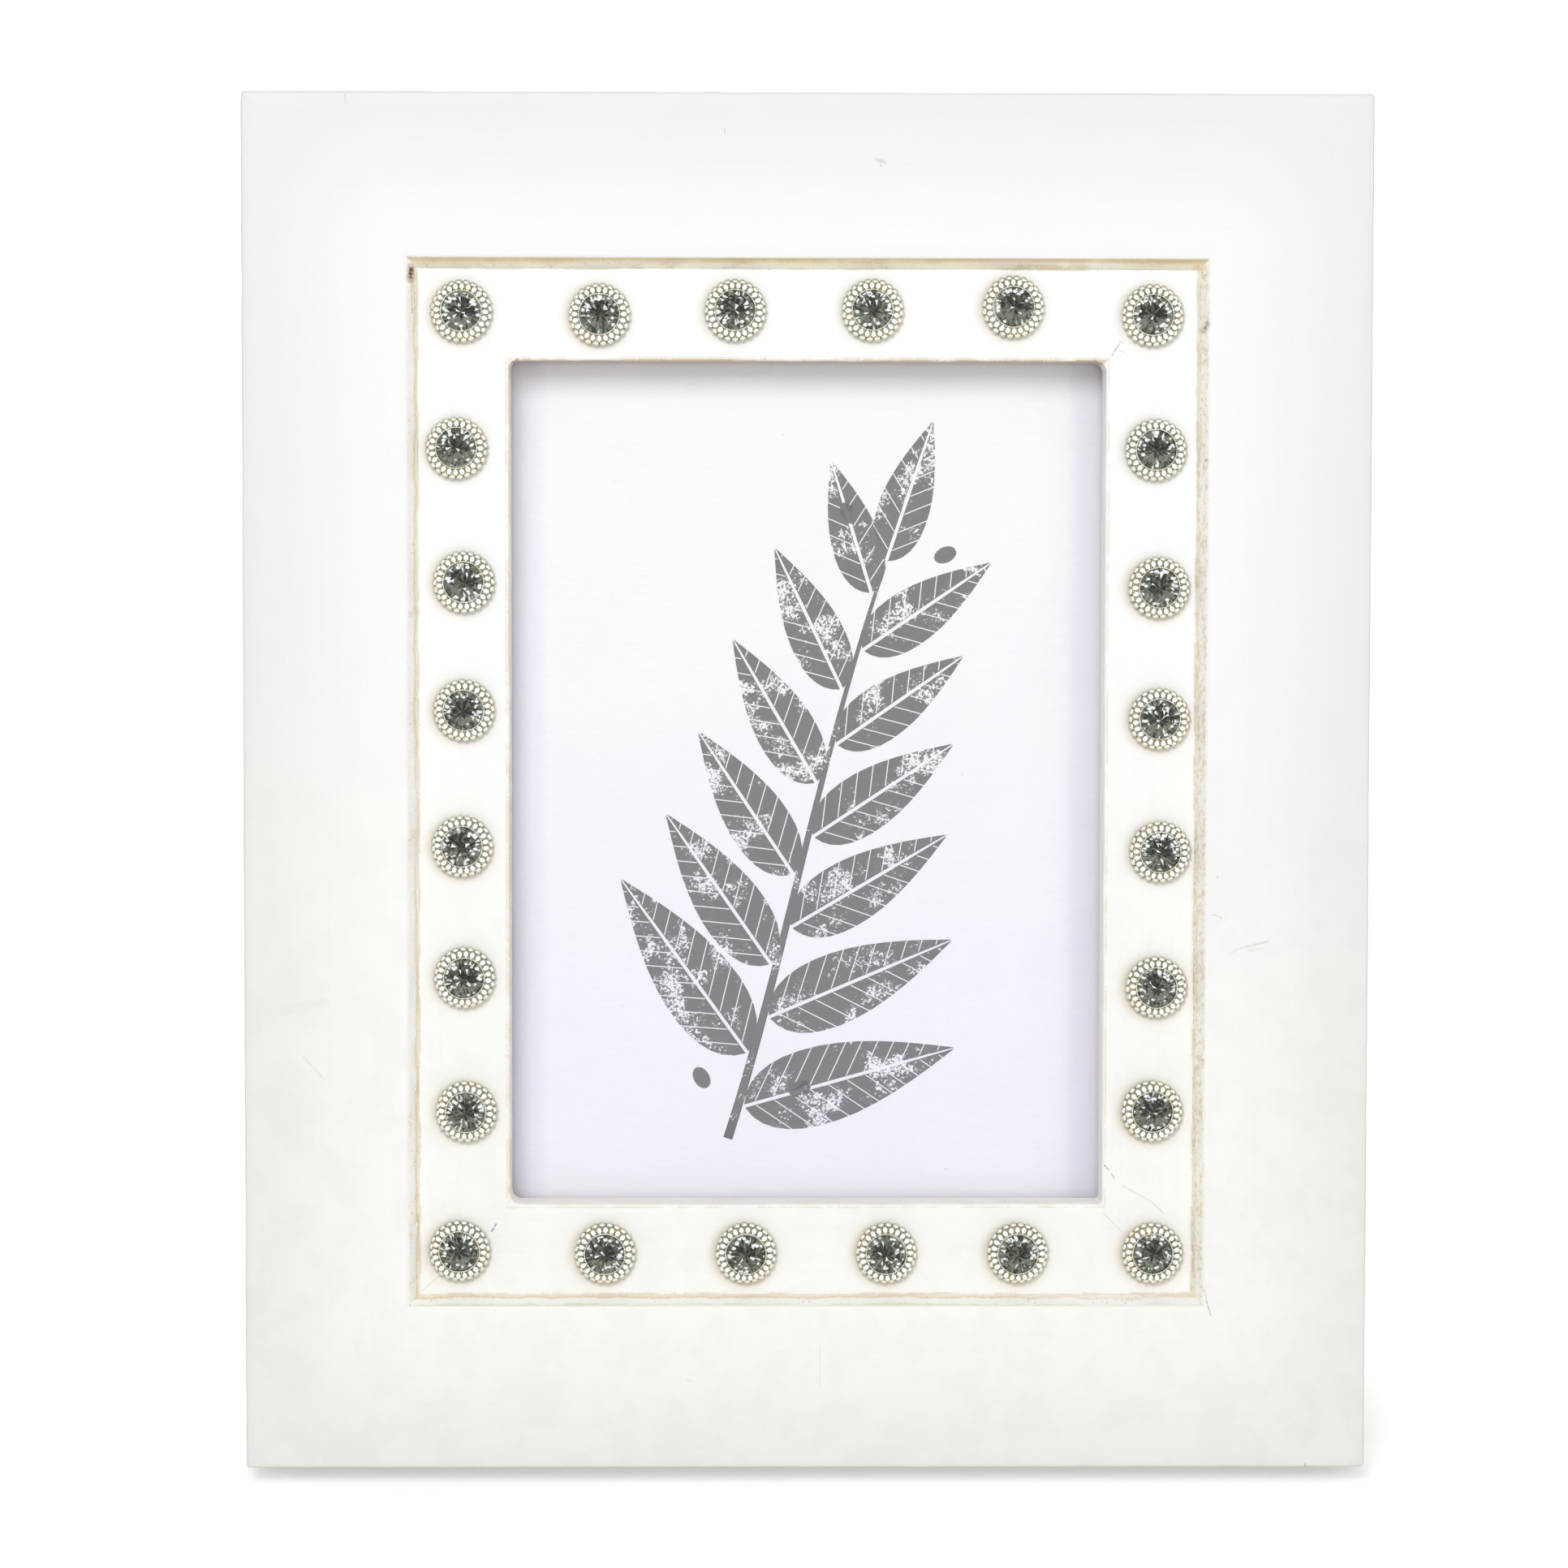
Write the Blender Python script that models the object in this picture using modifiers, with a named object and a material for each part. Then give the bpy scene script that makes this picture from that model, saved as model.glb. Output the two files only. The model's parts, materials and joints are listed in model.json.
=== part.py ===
"""A painted wooden picture frame for a 5 x 7 inch print, standing on its easel leg.

Everything is in metres. The frame is drawn upright in its own axes: X across,
Y from the front face back, Z up from the bottom edge. The empty frame_upright
then leans it back, and the leg is as long as it takes to reach the floor.
"""

import math

import bmesh
import bpy
from mathutils import Matrix, Vector

# Clearances
GAP = 0.0003              # between pieces that touch
PIN_CLEARANCE = 0.0003    # round a pin, rivet, screw or nail in its hole

# Sight opening, and how far its lip covers each edge of the print: 1/8 inch of a 5 x 7
SIGHT_WIDTH = 0.12065
SIGHT_HEIGHT = 0.17145
LIP_COVER = 0.003175

# Outer boards and the lower band inside them
BOARD_WIDTH = 0.0330      # flat front face
BOARD_THICKNESS = 0.0200
WALL_RUN = 0.0022         # width of the sloped wall, seen from the front
RECESS_DEPTH = 0.0030     # from the board's face down to the band's
BAND_WIDTH = 0.018475
LIP_THICKNESS = 0.0090    # wood in front of the glass
BOARD_ARRIS = 0.0012
WALL_ARRIS = 0.0008
SIGHT_ARRIS = 0.0008
ARRIS_STEPS = 3

# What lies in the rebate, front to back
GLASS_THICKNESS = 0.0020
PRINT_THICKNESS = 0.00035
FILLER_THICKNESS = 0.0010
BACK_THICKNESS = 0.0030

# Rhinestone studs on the band
STUDS_ACROSS = 6          # along the top and the bottom, corners included
STUDS_DOWN = 8            # along each side, corners included
STUD_RADIUS = 0.0065
STUD_SKIRT_HEIGHT = 0.0011
BEAD_COUNT = 24
BEAD_RING_RADIUS = 0.0053
BEAD_RELIEF = 0.00032     # from the top of a bead to the notch beside it
BEAD_RING_HEIGHT = 0.0026
RIM_RADIUS = 0.0043
STONE_RADIUS = 0.0039
STONE_TABLE_RADIUS = 0.0022
STONE_FACETS = 8
GIRDLE_HEIGHT = 0.0020
STUD_HEIGHT = 0.0035
STUD_TURN = math.radians(17)   # each stud is set turned a little further

# How far each stud was glued off even spacing, across and up, in millimetres
TOP_DRIFT = [(-0.4, 0.6), (-0.4, 0.0), (-0.8, 0.9), (-0.9, 1.0), (-0.3, 1.7), (0.1, 0.1)]
BOTTOM_DRIFT = [(-1.1, -0.2), (0.7, -0.7), (1.6, -0.7), (2.4, -0.7), (1.4, -0.7), (1.1, -0.7)]
LEFT_DRIFT = [(-1.4, 0.2), (0.0, 0.3), (0.0, 1.5), (-0.4, 1.0), (0.0, 1.4), (0.3, 1.2)]
RIGHT_DRIFT = [(0.9, 0.1), (1.7, -0.6), (1.9, -0.1), (2.2, 0.0), (1.6, -0.5), (0.9, 1.3)]
MILLIMETRE = 0.001

# Easel leg and its hinge
LEAN = math.radians(15)   # of the standing frame
OPEN_ANGLE = math.radians(26)   # between the back and the open leg
HINGE_DROP = 0.0256       # of the pin below the back board's top edge
LEG_THICKNESS = 0.0025
LEG_TOP_WIDTH = 0.0400
LEG_FOOT_WIDTH = 0.0720
LEG_CORNER = 0.0060
HINGE_WIDTH = 0.0280
LEAF_THICKNESS = 0.0008
LEAF_HEIGHT = 0.0170
LEAF_CORNER = 0.0025
LEAF_START = 0.0003       # where the flat of a leaf meets its knuckle
LEAF_SHOULDER_FALL = 0.0006   # the moving leaf's shoulders slope away from the end knuckles
KNUCKLE_EXTRA = 0.00005   # the roll stands this much proud of the flat
CENTRE_KNUCKLE = 0.0120
HINGE_PIN_RADIUS = 0.0010
PIN_HEAD_RADIUS = 0.0017
PIN_HEAD_THICKNESS = 0.0006
STOP_WIDTH = 0.0080
STOP_REACH = 0.0075
RIVET_SPREAD = 0.0190
RIVET_DROP = 0.0095       # from the pin's axis
RIVET_RADIUS = 0.0010
RIVET_HEAD_RADIUS = 0.0022
RIVET_HEAD_HEIGHT = 0.0009
CLINCH_RADIUS = 0.0019
CLINCH_THICKNESS = 0.0005

# Turn buttons that hold the back in
BUTTON_SPACING = 0.0960
BUTTON_REACH = 0.0150     # from its screw to the middle of its tip
BUTTON_ROOT_RADIUS = 0.0045
BUTTON_TIP_RADIUS = 0.0030
BUTTON_THICKNESS = 0.0010
SCREW_RADIUS = 0.0014
SCREW_HEAD_RADIUS = 0.0031
SCREW_HEAD_HEIGHT = 0.0016
SCREW_DEPTH = 0.0085      # below the back of the wood

# Sawtooth hanger
HANGER_DROP = 0.0165      # of its middle below the top edge
HANGER_WIDTH = 0.0440
HANGER_HEIGHT = 0.0090
HANGER_THICKNESS = 0.0008
HANGER_STANDOFF = 0.0015
HANGER_BAR = 0.0260       # the toothed stretch that stands off the wood
HANGER_RAMP = 0.0020
HANGER_END_RADIUS = 0.0030
TOOTH_COUNT = 9
TOOTH_DEPTH = 0.0016
NAIL_SPREAD = 0.0370
NAIL_RADIUS = 0.0007
NAIL_HEAD_RADIUS = 0.0017
NAIL_HEAD_HEIGHT = 0.0006
NAIL_DEPTH = 0.0090

# V-nails across the mitres, driven from the back
VNAIL_LEG = 0.0070
VNAIL_THICKNESS = 0.0006
VNAIL_DEPTH = 0.0100
VNAIL_SUNK = 0.0002
VNAIL_INSET = 0.0160      # of its point from both outer edges

# Facets on round pieces
ROUND_STEPS = 20
SMALL_STEPS = 12

# Worked out from the sizes above
BAND_START = BOARD_WIDTH + WALL_RUN + GAP
SIGHT_INSET = BAND_START + BAND_WIDTH
FRAME_WIDTH = SIGHT_WIDTH + 2 * SIGHT_INSET
FRAME_HEIGHT = SIGHT_HEIGHT + 2 * SIGHT_INSET
PRINT_WIDTH = SIGHT_WIDTH + 2 * LIP_COVER
PRINT_HEIGHT = SIGHT_HEIGHT + 2 * LIP_COVER
REBATE_WIDTH = LIP_COVER + GAP
REBATE_FRONT = RECESS_DEPTH + LIP_THICKNESS
GLASS_FRONT = REBATE_FRONT + GAP
PRINT_FRONT = GLASS_FRONT + GLASS_THICKNESS + GAP
FILLER_FRONT = PRINT_FRONT + PRINT_THICKNESS + GAP
BACK_FRONT = FILLER_FRONT + FILLER_THICKNESS + GAP
BACK_REAR = BACK_FRONT + BACK_THICKNESS
KNUCKLE_BORE = HINGE_PIN_RADIUS + PIN_CLEARANCE
KNUCKLE_RADIUS = KNUCKLE_BORE + LEAF_THICKNESS + KNUCKLE_EXTRA
HINGE_DEPTH = BACK_REAR + GAP + KNUCKLE_BORE + LEAF_THICKNESS
HINGE_HEIGHT = (FRAME_HEIGHT + PRINT_HEIGHT) / 2 - HINGE_DROP
LEG_REAR = KNUCKLE_BORE - GAP                 # both measured back from the pin's axis
LEG_FRONT = LEG_REAR - LEG_THICKNESS
BUTTON_INSET = (BAND_START + SIGHT_INSET - REBATE_WIDTH) / 2

# The leg reaches from its pin to the floor, which runs under the bottom back edge
PIN_TO_FLOOR = HINGE_HEIGHT * math.cos(LEAN) - (HINGE_DEPTH - BOARD_THICKNESS) * math.sin(LEAN)
LEG_TILT = OPEN_ANGLE - LEAN                  # of the leg from plumb
LEG_LENGTH = PIN_TO_FLOOR / math.cos(LEG_TILT)


# Materials

def make_material(name, colour, roughness, metallic=0.0, alpha=1.0):
    material = bpy.data.materials.new(name)
    material.use_nodes = True
    shader = material.node_tree.nodes["Principled BSDF"]
    shader.inputs["Base Color"].default_value = (*colour, 1.0)
    shader.inputs["Roughness"].default_value = roughness
    shader.inputs["Metallic"].default_value = metallic
    shader.inputs["Alpha"].default_value = alpha
    material.diffuse_color = (*colour, alpha)
    return material


# Objects, outlines and cuts

def add_object(name, mesh, material, parent, location=(0, 0, 0), turn=None):
    """Places a mesh under its parent, in the frame's collection."""
    piece = bpy.data.objects.new(name, mesh)
    frame_collection.objects.link(piece)
    piece.parent = parent
    piece.location = location
    if turn is not None:
        piece.rotation_euler = turn.to_euler()
    if material is not None:
        mesh.materials.clear()
        mesh.materials.append(material)
    return piece


def as_cutter(piece):
    """Moves a helper shape to the cutters, where it is drawn as wire and left out of renders."""
    frame_collection.objects.unlink(piece)
    cutter_collection.objects.link(piece)
    piece.hide_render = True
    piece.display_type = "WIRE"
    return piece


def add_boolean(piece, operand, operation="DIFFERENCE"):
    modifier = piece.modifiers.new(operation.lower(), "BOOLEAN")
    modifier.operation = operation
    modifier.object = operand


def arc_points(centre, radius, start, end, steps):
    """Points on an arc, angles in radians."""
    return [
        (
            centre[0] + radius * math.cos(start + (end - start) * i / steps),
            centre[1] + radius * math.sin(start + (end - start) * i / steps),
        )
        for i in range(steps + 1)
    ]


def circle_points(radius, steps, centre=(0, 0)):
    return arc_points(centre, radius, 0, 2 * math.pi, steps)[:-1]


def round_corners(corners, radii, steps):
    """An outline with each corner rounded by its own radius. A radius of 0 stays sharp."""
    outline = []
    count = len(corners)
    for i, radius in enumerate(radii):
        corner = Vector(corners[i])
        if radius == 0:
            outline.append(tuple(corner))
            continue
        to_last = (Vector(corners[i - 1]) - corner).normalized()
        to_next = (Vector(corners[(i + 1) % count]) - corner).normalized()
        half_angle = to_last.angle(to_next) / 2
        centre = corner + (to_last + to_next).normalized() * (radius / math.sin(half_angle))
        start = corner + to_last * (radius / math.tan(half_angle)) - centre
        end = corner + to_next * (radius / math.tan(half_angle)) - centre
        sweep = start.angle_signed(end)
        for step in range(steps + 1):
            turned = start @ Matrix.Rotation(sweep * step / steps, 2)
            outline.append(tuple(centre + turned))
    return outline


def flat_mesh(name, outlines, thickness):
    """A flat plate from one outer outline and any holes, its thickness centred on Z = 0."""
    curve = bpy.data.curves.new(name, "CURVE")
    curve.dimensions = "2D"
    curve.fill_mode = "BOTH"
    curve.extrude = thickness / 2
    for outline in outlines:
        spline = curve.splines.new("POLY")
        spline.points.add(len(outline) - 1)
        for point, (x, y) in zip(spline.points, outline):
            point.co = (x, y, 0, 1)
        spline.use_cyclic_u = True
    holder = bpy.data.objects.new(name, curve)
    frame_collection.objects.link(holder)
    evaluated = holder.evaluated_get(bpy.context.evaluated_depsgraph_get())
    mesh = bpy.data.meshes.new_from_object(evaluated)
    bpy.data.objects.remove(holder)
    plate = bmesh.new()
    plate.from_mesh(mesh)
    bmesh.ops.remove_doubles(plate, verts=plate.verts, dist=0.000001)
    bmesh.ops.recalc_face_normals(plate, faces=plate.faces)
    plate.to_mesh(mesh)
    plate.free()
    mesh.name = name
    return mesh


def box_mesh(name, size, centre=(0, 0, 0)):
    block = bmesh.new()
    bmesh.ops.create_cube(block, size=1)
    bmesh.ops.scale(block, vec=size, verts=block.verts)
    bmesh.ops.translate(block, vec=centre, verts=block.verts)
    mesh = bpy.data.meshes.new(name)
    block.to_mesh(mesh)
    block.free()
    return mesh


def rod_mesh(name, radius, start, end, steps=SMALL_STEPS):
    """A cylinder along Z from start to end."""
    rod = bmesh.new()
    bmesh.ops.create_cone(
        rod, cap_ends=True, segments=steps, radius1=radius, radius2=radius, depth=end - start
    )
    bmesh.ops.translate(rod, vec=(0, 0, (start + end) / 2), verts=rod.verts)
    mesh = bpy.data.meshes.new(name)
    rod.to_mesh(mesh)
    rod.free()
    return mesh


def turned_piece(name, profile, material, parent, location, turn, steps=SMALL_STEPS):
    """A turned piece about Z. The profile runs from the axis round its outer side, top to bottom."""
    mesh = bpy.data.meshes.new(name)
    edges = [(i, i + 1) for i in range(len(profile) - 1)]
    mesh.from_pydata([(radius, 0, height) for radius, height in profile], edges, [])
    piece = add_object(name, mesh, material, parent, location, turn)
    screw = piece.modifiers.new("turn", "SCREW")
    screw.steps = steps
    screw.render_steps = steps
    screw.use_merge_vertices = True
    screw.merge_threshold = 0.00001
    return piece


def dome_profile(radius, height, base):
    """A low domed head from its crown down to its rim, sitting on the level base."""
    quarter = arc_points((0, 0), 1, math.pi / 2, math.radians(12), 4)
    return [(radius * x, base + height * y) for x, y in quarter] + [(radius, base)]


# Turns from a piece's own axes into the frame's
FACE_FORWARD = Matrix.Rotation(math.radians(90), 4, "X")    # Z to the front, Y up
FACE_BACK = Matrix.Rotation(math.radians(-90), 4, "X")      # Z to the back
ALONG_PIN = Matrix.Rotation(math.radians(90), 4, "Y")       # Z across the frame


# Rails

def mitred_rail(name, section, half_length, material, parent, location, angle):
    """One side, from its section (inwards, back). The far mitre mirrors the near one."""
    set_back = GAP / 2 * math.sqrt(2)
    rail = bmesh.new()
    near_corners = [
        rail.verts.new((inwards - half_length + set_back, back, inwards))
        for inwards, back in section
    ]
    near_mitre = rail.faces.new(near_corners)
    far_mitre = bmesh.ops.extrude_face_region(rail, geom=[near_mitre])["geom"]
    for corner in far_mitre:
        if isinstance(corner, bmesh.types.BMVert):
            corner.co.x = -corner.co.x
    bmesh.ops.recalc_face_normals(rail, faces=rail.faces)
    mesh = bpy.data.meshes.new(name)
    rail.to_mesh(mesh)
    rail.free()
    return add_object(
        name, mesh, material, parent, location, Matrix.Rotation(math.radians(angle), 4, "Y")
    )


def four_rails(name, section, material, parent):
    """The same section down all four sides, as separate mitred pieces."""
    places = {
        "bottom": ((0, 0, 0), 0, FRAME_WIDTH / 2),
        "top": ((0, 0, FRAME_HEIGHT), 180, FRAME_WIDTH / 2),
        "left": ((-FRAME_WIDTH / 2, 0, FRAME_HEIGHT / 2), 90, FRAME_HEIGHT / 2),
        "right": ((FRAME_WIDTH / 2, 0, FRAME_HEIGHT / 2), -90, FRAME_HEIGHT / 2),
    }
    return {
        side: mitred_rail(f"{name}_{side}", section, half_length, material, parent, place, angle)
        for side, (place, angle, half_length) in places.items()
    }


def make_outer_boards(material, parent):
    wall_foot = BOARD_WIDTH + WALL_RUN
    corners = [
        (0, 0),
        (BOARD_WIDTH, 0),
        (wall_foot, RECESS_DEPTH),
        (wall_foot, BOARD_THICKNESS),
        (0, BOARD_THICKNESS),
    ]
    section = round_corners(corners, [BOARD_ARRIS, WALL_ARRIS, 0, 0, 0], ARRIS_STEPS)
    return four_rails("outer_board", section, material, parent)


def make_bands(material, parent):
    """The lower band: a moulding with the rebate for the glass cut from its back inner corner."""
    rebate_edge = SIGHT_INSET - REBATE_WIDTH
    corners = [
        (BAND_START, RECESS_DEPTH),
        (SIGHT_INSET, RECESS_DEPTH),
        (SIGHT_INSET, REBATE_FRONT),
        (rebate_edge, REBATE_FRONT),
        (rebate_edge, BOARD_THICKNESS),
        (BAND_START, BOARD_THICKNESS),
    ]
    section = round_corners(corners, [0, SIGHT_ARRIS, 0, 0, 0, 0], ARRIS_STEPS)
    return four_rails("inner_band", section, material, parent)


def make_vnails(boards, material, parent):
    """A bent steel nail across each mitre, in a slot shared by the two boards."""
    def chevron(thickness, reach):
        """Two legs square to each other about the mitre line, which runs along +Y here."""
        tip = thickness / math.sqrt(2)
        side = reach / math.sqrt(2)
        edge = thickness / 2 / math.sqrt(2)
        return [
            (0, -tip),
            (side + edge, side - edge),
            (side - edge, side + edge),
            (0, tip),
            (-side + edge, side + edge),
            (-side - edge, side - edge),
        ]

    depth_middle = BOARD_THICKNESS - VNAIL_SUNK - VNAIL_DEPTH / 2
    corners = {
        ("bottom", "left"): (-1, 0, 45),
        ("bottom", "right"): (1, 0, -45),
        ("top", "right"): (1, 1, -135),
        ("top", "left"): (-1, 1, 135),
    }
    nail_mesh = flat_mesh("vnail", [chevron(VNAIL_THICKNESS, VNAIL_LEG)], VNAIL_DEPTH)
    slot_outline = chevron(VNAIL_THICKNESS + 2 * GAP, VNAIL_LEG + GAP)
    slot_mesh = flat_mesh("vnail_slot", [slot_outline], VNAIL_DEPTH + 2 * (GAP + VNAIL_SUNK))
    for (row, column), (across, up, angle) in corners.items():
        place = (
            across * (FRAME_WIDTH / 2 - VNAIL_INSET),
            depth_middle,
            up * FRAME_HEIGHT + (1 - 2 * up) * VNAIL_INSET,
        )
        turn = Matrix.Rotation(math.radians(angle), 4, "Y") @ FACE_FORWARD
        add_object(f"vnail_{row}_{column}", nail_mesh.copy(), material, parent, place, turn)
        slot = as_cutter(
            add_object(f"vnail_slot_{row}_{column}", slot_mesh, None, parent, place, turn)
        )
        add_boolean(boards[row], slot)
        add_boolean(boards[column], slot)


# Glass, print and back

def make_sheets(glass, paper, card, hardboard, parent):
    """The flat sheets in the rebate. Returns the back board, which carries the hinge."""
    sheets = [
        ("glass_pane", GLASS_FRONT, GLASS_THICKNESS, glass),
        ("print_card", PRINT_FRONT, PRINT_THICKNESS, paper),
        ("filler_card", FILLER_FRONT, FILLER_THICKNESS, card),
        ("back_board", BACK_FRONT, BACK_THICKNESS, hardboard),
    ]
    made = {}
    for name, front, thickness, material in sheets:
        mesh = box_mesh(name, (PRINT_WIDTH, thickness, PRINT_HEIGHT))
        place = (0, front + thickness / 2, FRAME_HEIGHT / 2)
        made[name] = add_object(name, mesh, material, parent, place)
    return made["back_board"]


# Studs

def add_ring(stud, count, radii, heights):
    """A ring of corners about Z. Radii and heights repeat round it, first at a bead's top."""
    ring = []
    for i in range(count):
        angle = 2 * math.pi * i / count
        radius = radii[i % len(radii)]
        height = heights[i % len(heights)]
        ring.append(
            stud.verts.new((radius * math.cos(angle), radius * math.sin(angle), height))
        )
    return ring


def bridge_rings(stud, lower, upper):
    """Fills between two rings, also where their counts differ, stepping round both by angle."""
    low = 0
    high = 0
    while low < len(lower) or high < len(upper):
        next_low = (low + 0.5) / len(lower)
        next_high = (high + 0.5) / len(upper)
        here = lower[low % len(lower)]
        above = upper[high % len(upper)]
        if high == len(upper) or (low < len(lower) and next_low <= next_high):
            low += 1
            stud.faces.new((here, lower[low % len(lower)], above))
        else:
            high += 1
            stud.faces.new((here, upper[high % len(upper)], above))


def make_stud_mesh(material):
    """A beaded cup round a faceted stone: a loft through rings of unlike count.

    The skirt and the bead ring have two corners for each bead, one on it and one
    in the notch beside it. The groove and the rim have one, the stone one a facet.
    """
    two_each = 2 * BEAD_COUNT
    groove_radius = (STUD_RADIUS + BEAD_RING_RADIUS) / 2 - BEAD_RELIEF
    groove_height = (STUD_SKIRT_HEIGHT + BEAD_RING_HEIGHT) / 2 - BEAD_RELIEF
    rim_height = BEAD_RING_HEIGHT - BEAD_RELIEF
    stud = bmesh.new()
    scallop = [STUD_RADIUS, STUD_RADIUS - BEAD_RELIEF]
    skirt = [radius - BEAD_RELIEF / 2 for radius in scallop]
    beads = [BEAD_RING_RADIUS, BEAD_RING_RADIUS - BEAD_RELIEF / 2]
    bead_heights = [BEAD_RING_HEIGHT, BEAD_RING_HEIGHT - BEAD_RELIEF]
    rings = [
        add_ring(stud, two_each, scallop, [0]),
        add_ring(stud, two_each, skirt, [STUD_SKIRT_HEIGHT]),
        add_ring(stud, BEAD_COUNT, [groove_radius], [groove_height]),
        add_ring(stud, two_each, beads, bead_heights),
        add_ring(stud, BEAD_COUNT, [RIM_RADIUS], [rim_height]),
        add_ring(stud, STONE_FACETS, [STONE_RADIUS], [GIRDLE_HEIGHT]),
        add_ring(stud, STONE_FACETS, [STONE_TABLE_RADIUS], [STUD_HEIGHT]),
    ]
    for lower, upper in zip(rings, rings[1:]):
        bridge_rings(stud, lower, upper)
    stud.faces.new(list(reversed(rings[0])))
    stud.faces.new(rings[-1])
    bmesh.ops.recalc_face_normals(stud, faces=stud.faces)
    mesh = bpy.data.meshes.new("rhinestone_stud")
    stud.to_mesh(mesh)
    stud.free()
    mesh.materials.append(material)
    return mesh


def stud_places():
    """Names and centres, evenly spaced on the middle line of the band, then drifted by hand."""
    half_width = (SIGHT_WIDTH + BAND_WIDTH) / 2
    half_height = (SIGHT_HEIGHT + BAND_WIDTH) / 2
    across_step = 2 * half_width / (STUDS_ACROSS - 1)
    down_step = 2 * half_height / (STUDS_DOWN - 1)
    rows = [
        ("top", TOP_DRIFT, STUDS_ACROSS, lambda i: (-half_width + i * across_step, half_height)),
        ("bottom", BOTTOM_DRIFT, STUDS_ACROSS,
         lambda i: (-half_width + i * across_step, -half_height)),
        ("left", LEFT_DRIFT, STUDS_DOWN - 2,
         lambda i: (-half_width, half_height - (i + 1) * down_step)),
        ("right", RIGHT_DRIFT, STUDS_DOWN - 2,
         lambda i: (half_width, half_height - (i + 1) * down_step)),
    ]
    for row, drift, count, even_place in rows:
        for i in range(count):
            x, z = even_place(i)
            drift_x, drift_z = drift[i % len(drift)]
            centre = (x + drift_x * MILLIMETRE, FRAME_HEIGHT / 2 + z + drift_z * MILLIMETRE)
            yield f"stud_{row}_{i + 1}", centre


def make_studs(material, parent):
    mesh = make_stud_mesh(material)
    for index, (name, (x, z)) in enumerate(stud_places()):
        turn = FACE_FORWARD @ Matrix.Rotation(index * STUD_TURN, 4, "Z")
        add_object(name, mesh, None, parent, (x, RECESS_DEPTH - GAP, z), turn)


# Easel leg, hinge and rivets

def knuckle_mesh(name, length):
    """A rolled knuckle: a short tube along Z."""
    rings = [circle_points(KNUCKLE_RADIUS, ROUND_STEPS), circle_points(KNUCKLE_BORE, ROUND_STEPS)]
    return flat_mesh(name, rings, length)


def rivet_holes():
    """Rivet holes through a leaf, in the leaf's own axes."""
    radius = RIVET_RADIUS + PIN_CLEARANCE
    return [
        circle_points(radius, SMALL_STEPS, (side * RIVET_SPREAD / 2, RIVET_DROP))
        for side in (-1, 1)
    ]


def leaf_mesh(name, half_outline):
    """A hinge leaf from the right half of its outline, mirrored, with its rivet holes."""
    mirrored = [(-x, y) for x, y in reversed(half_outline)]
    return flat_mesh(name, [half_outline + mirrored] + rivet_holes(), LEAF_THICKNESS)


def leaf_corner():
    """The rounded far corner of a leaf's right half."""
    centre = (HINGE_WIDTH / 2 - LEAF_CORNER, LEAF_HEIGHT - LEAF_CORNER)
    return arc_points(centre, LEAF_CORNER, 0, math.pi / 2, ARRIS_STEPS)


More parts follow.
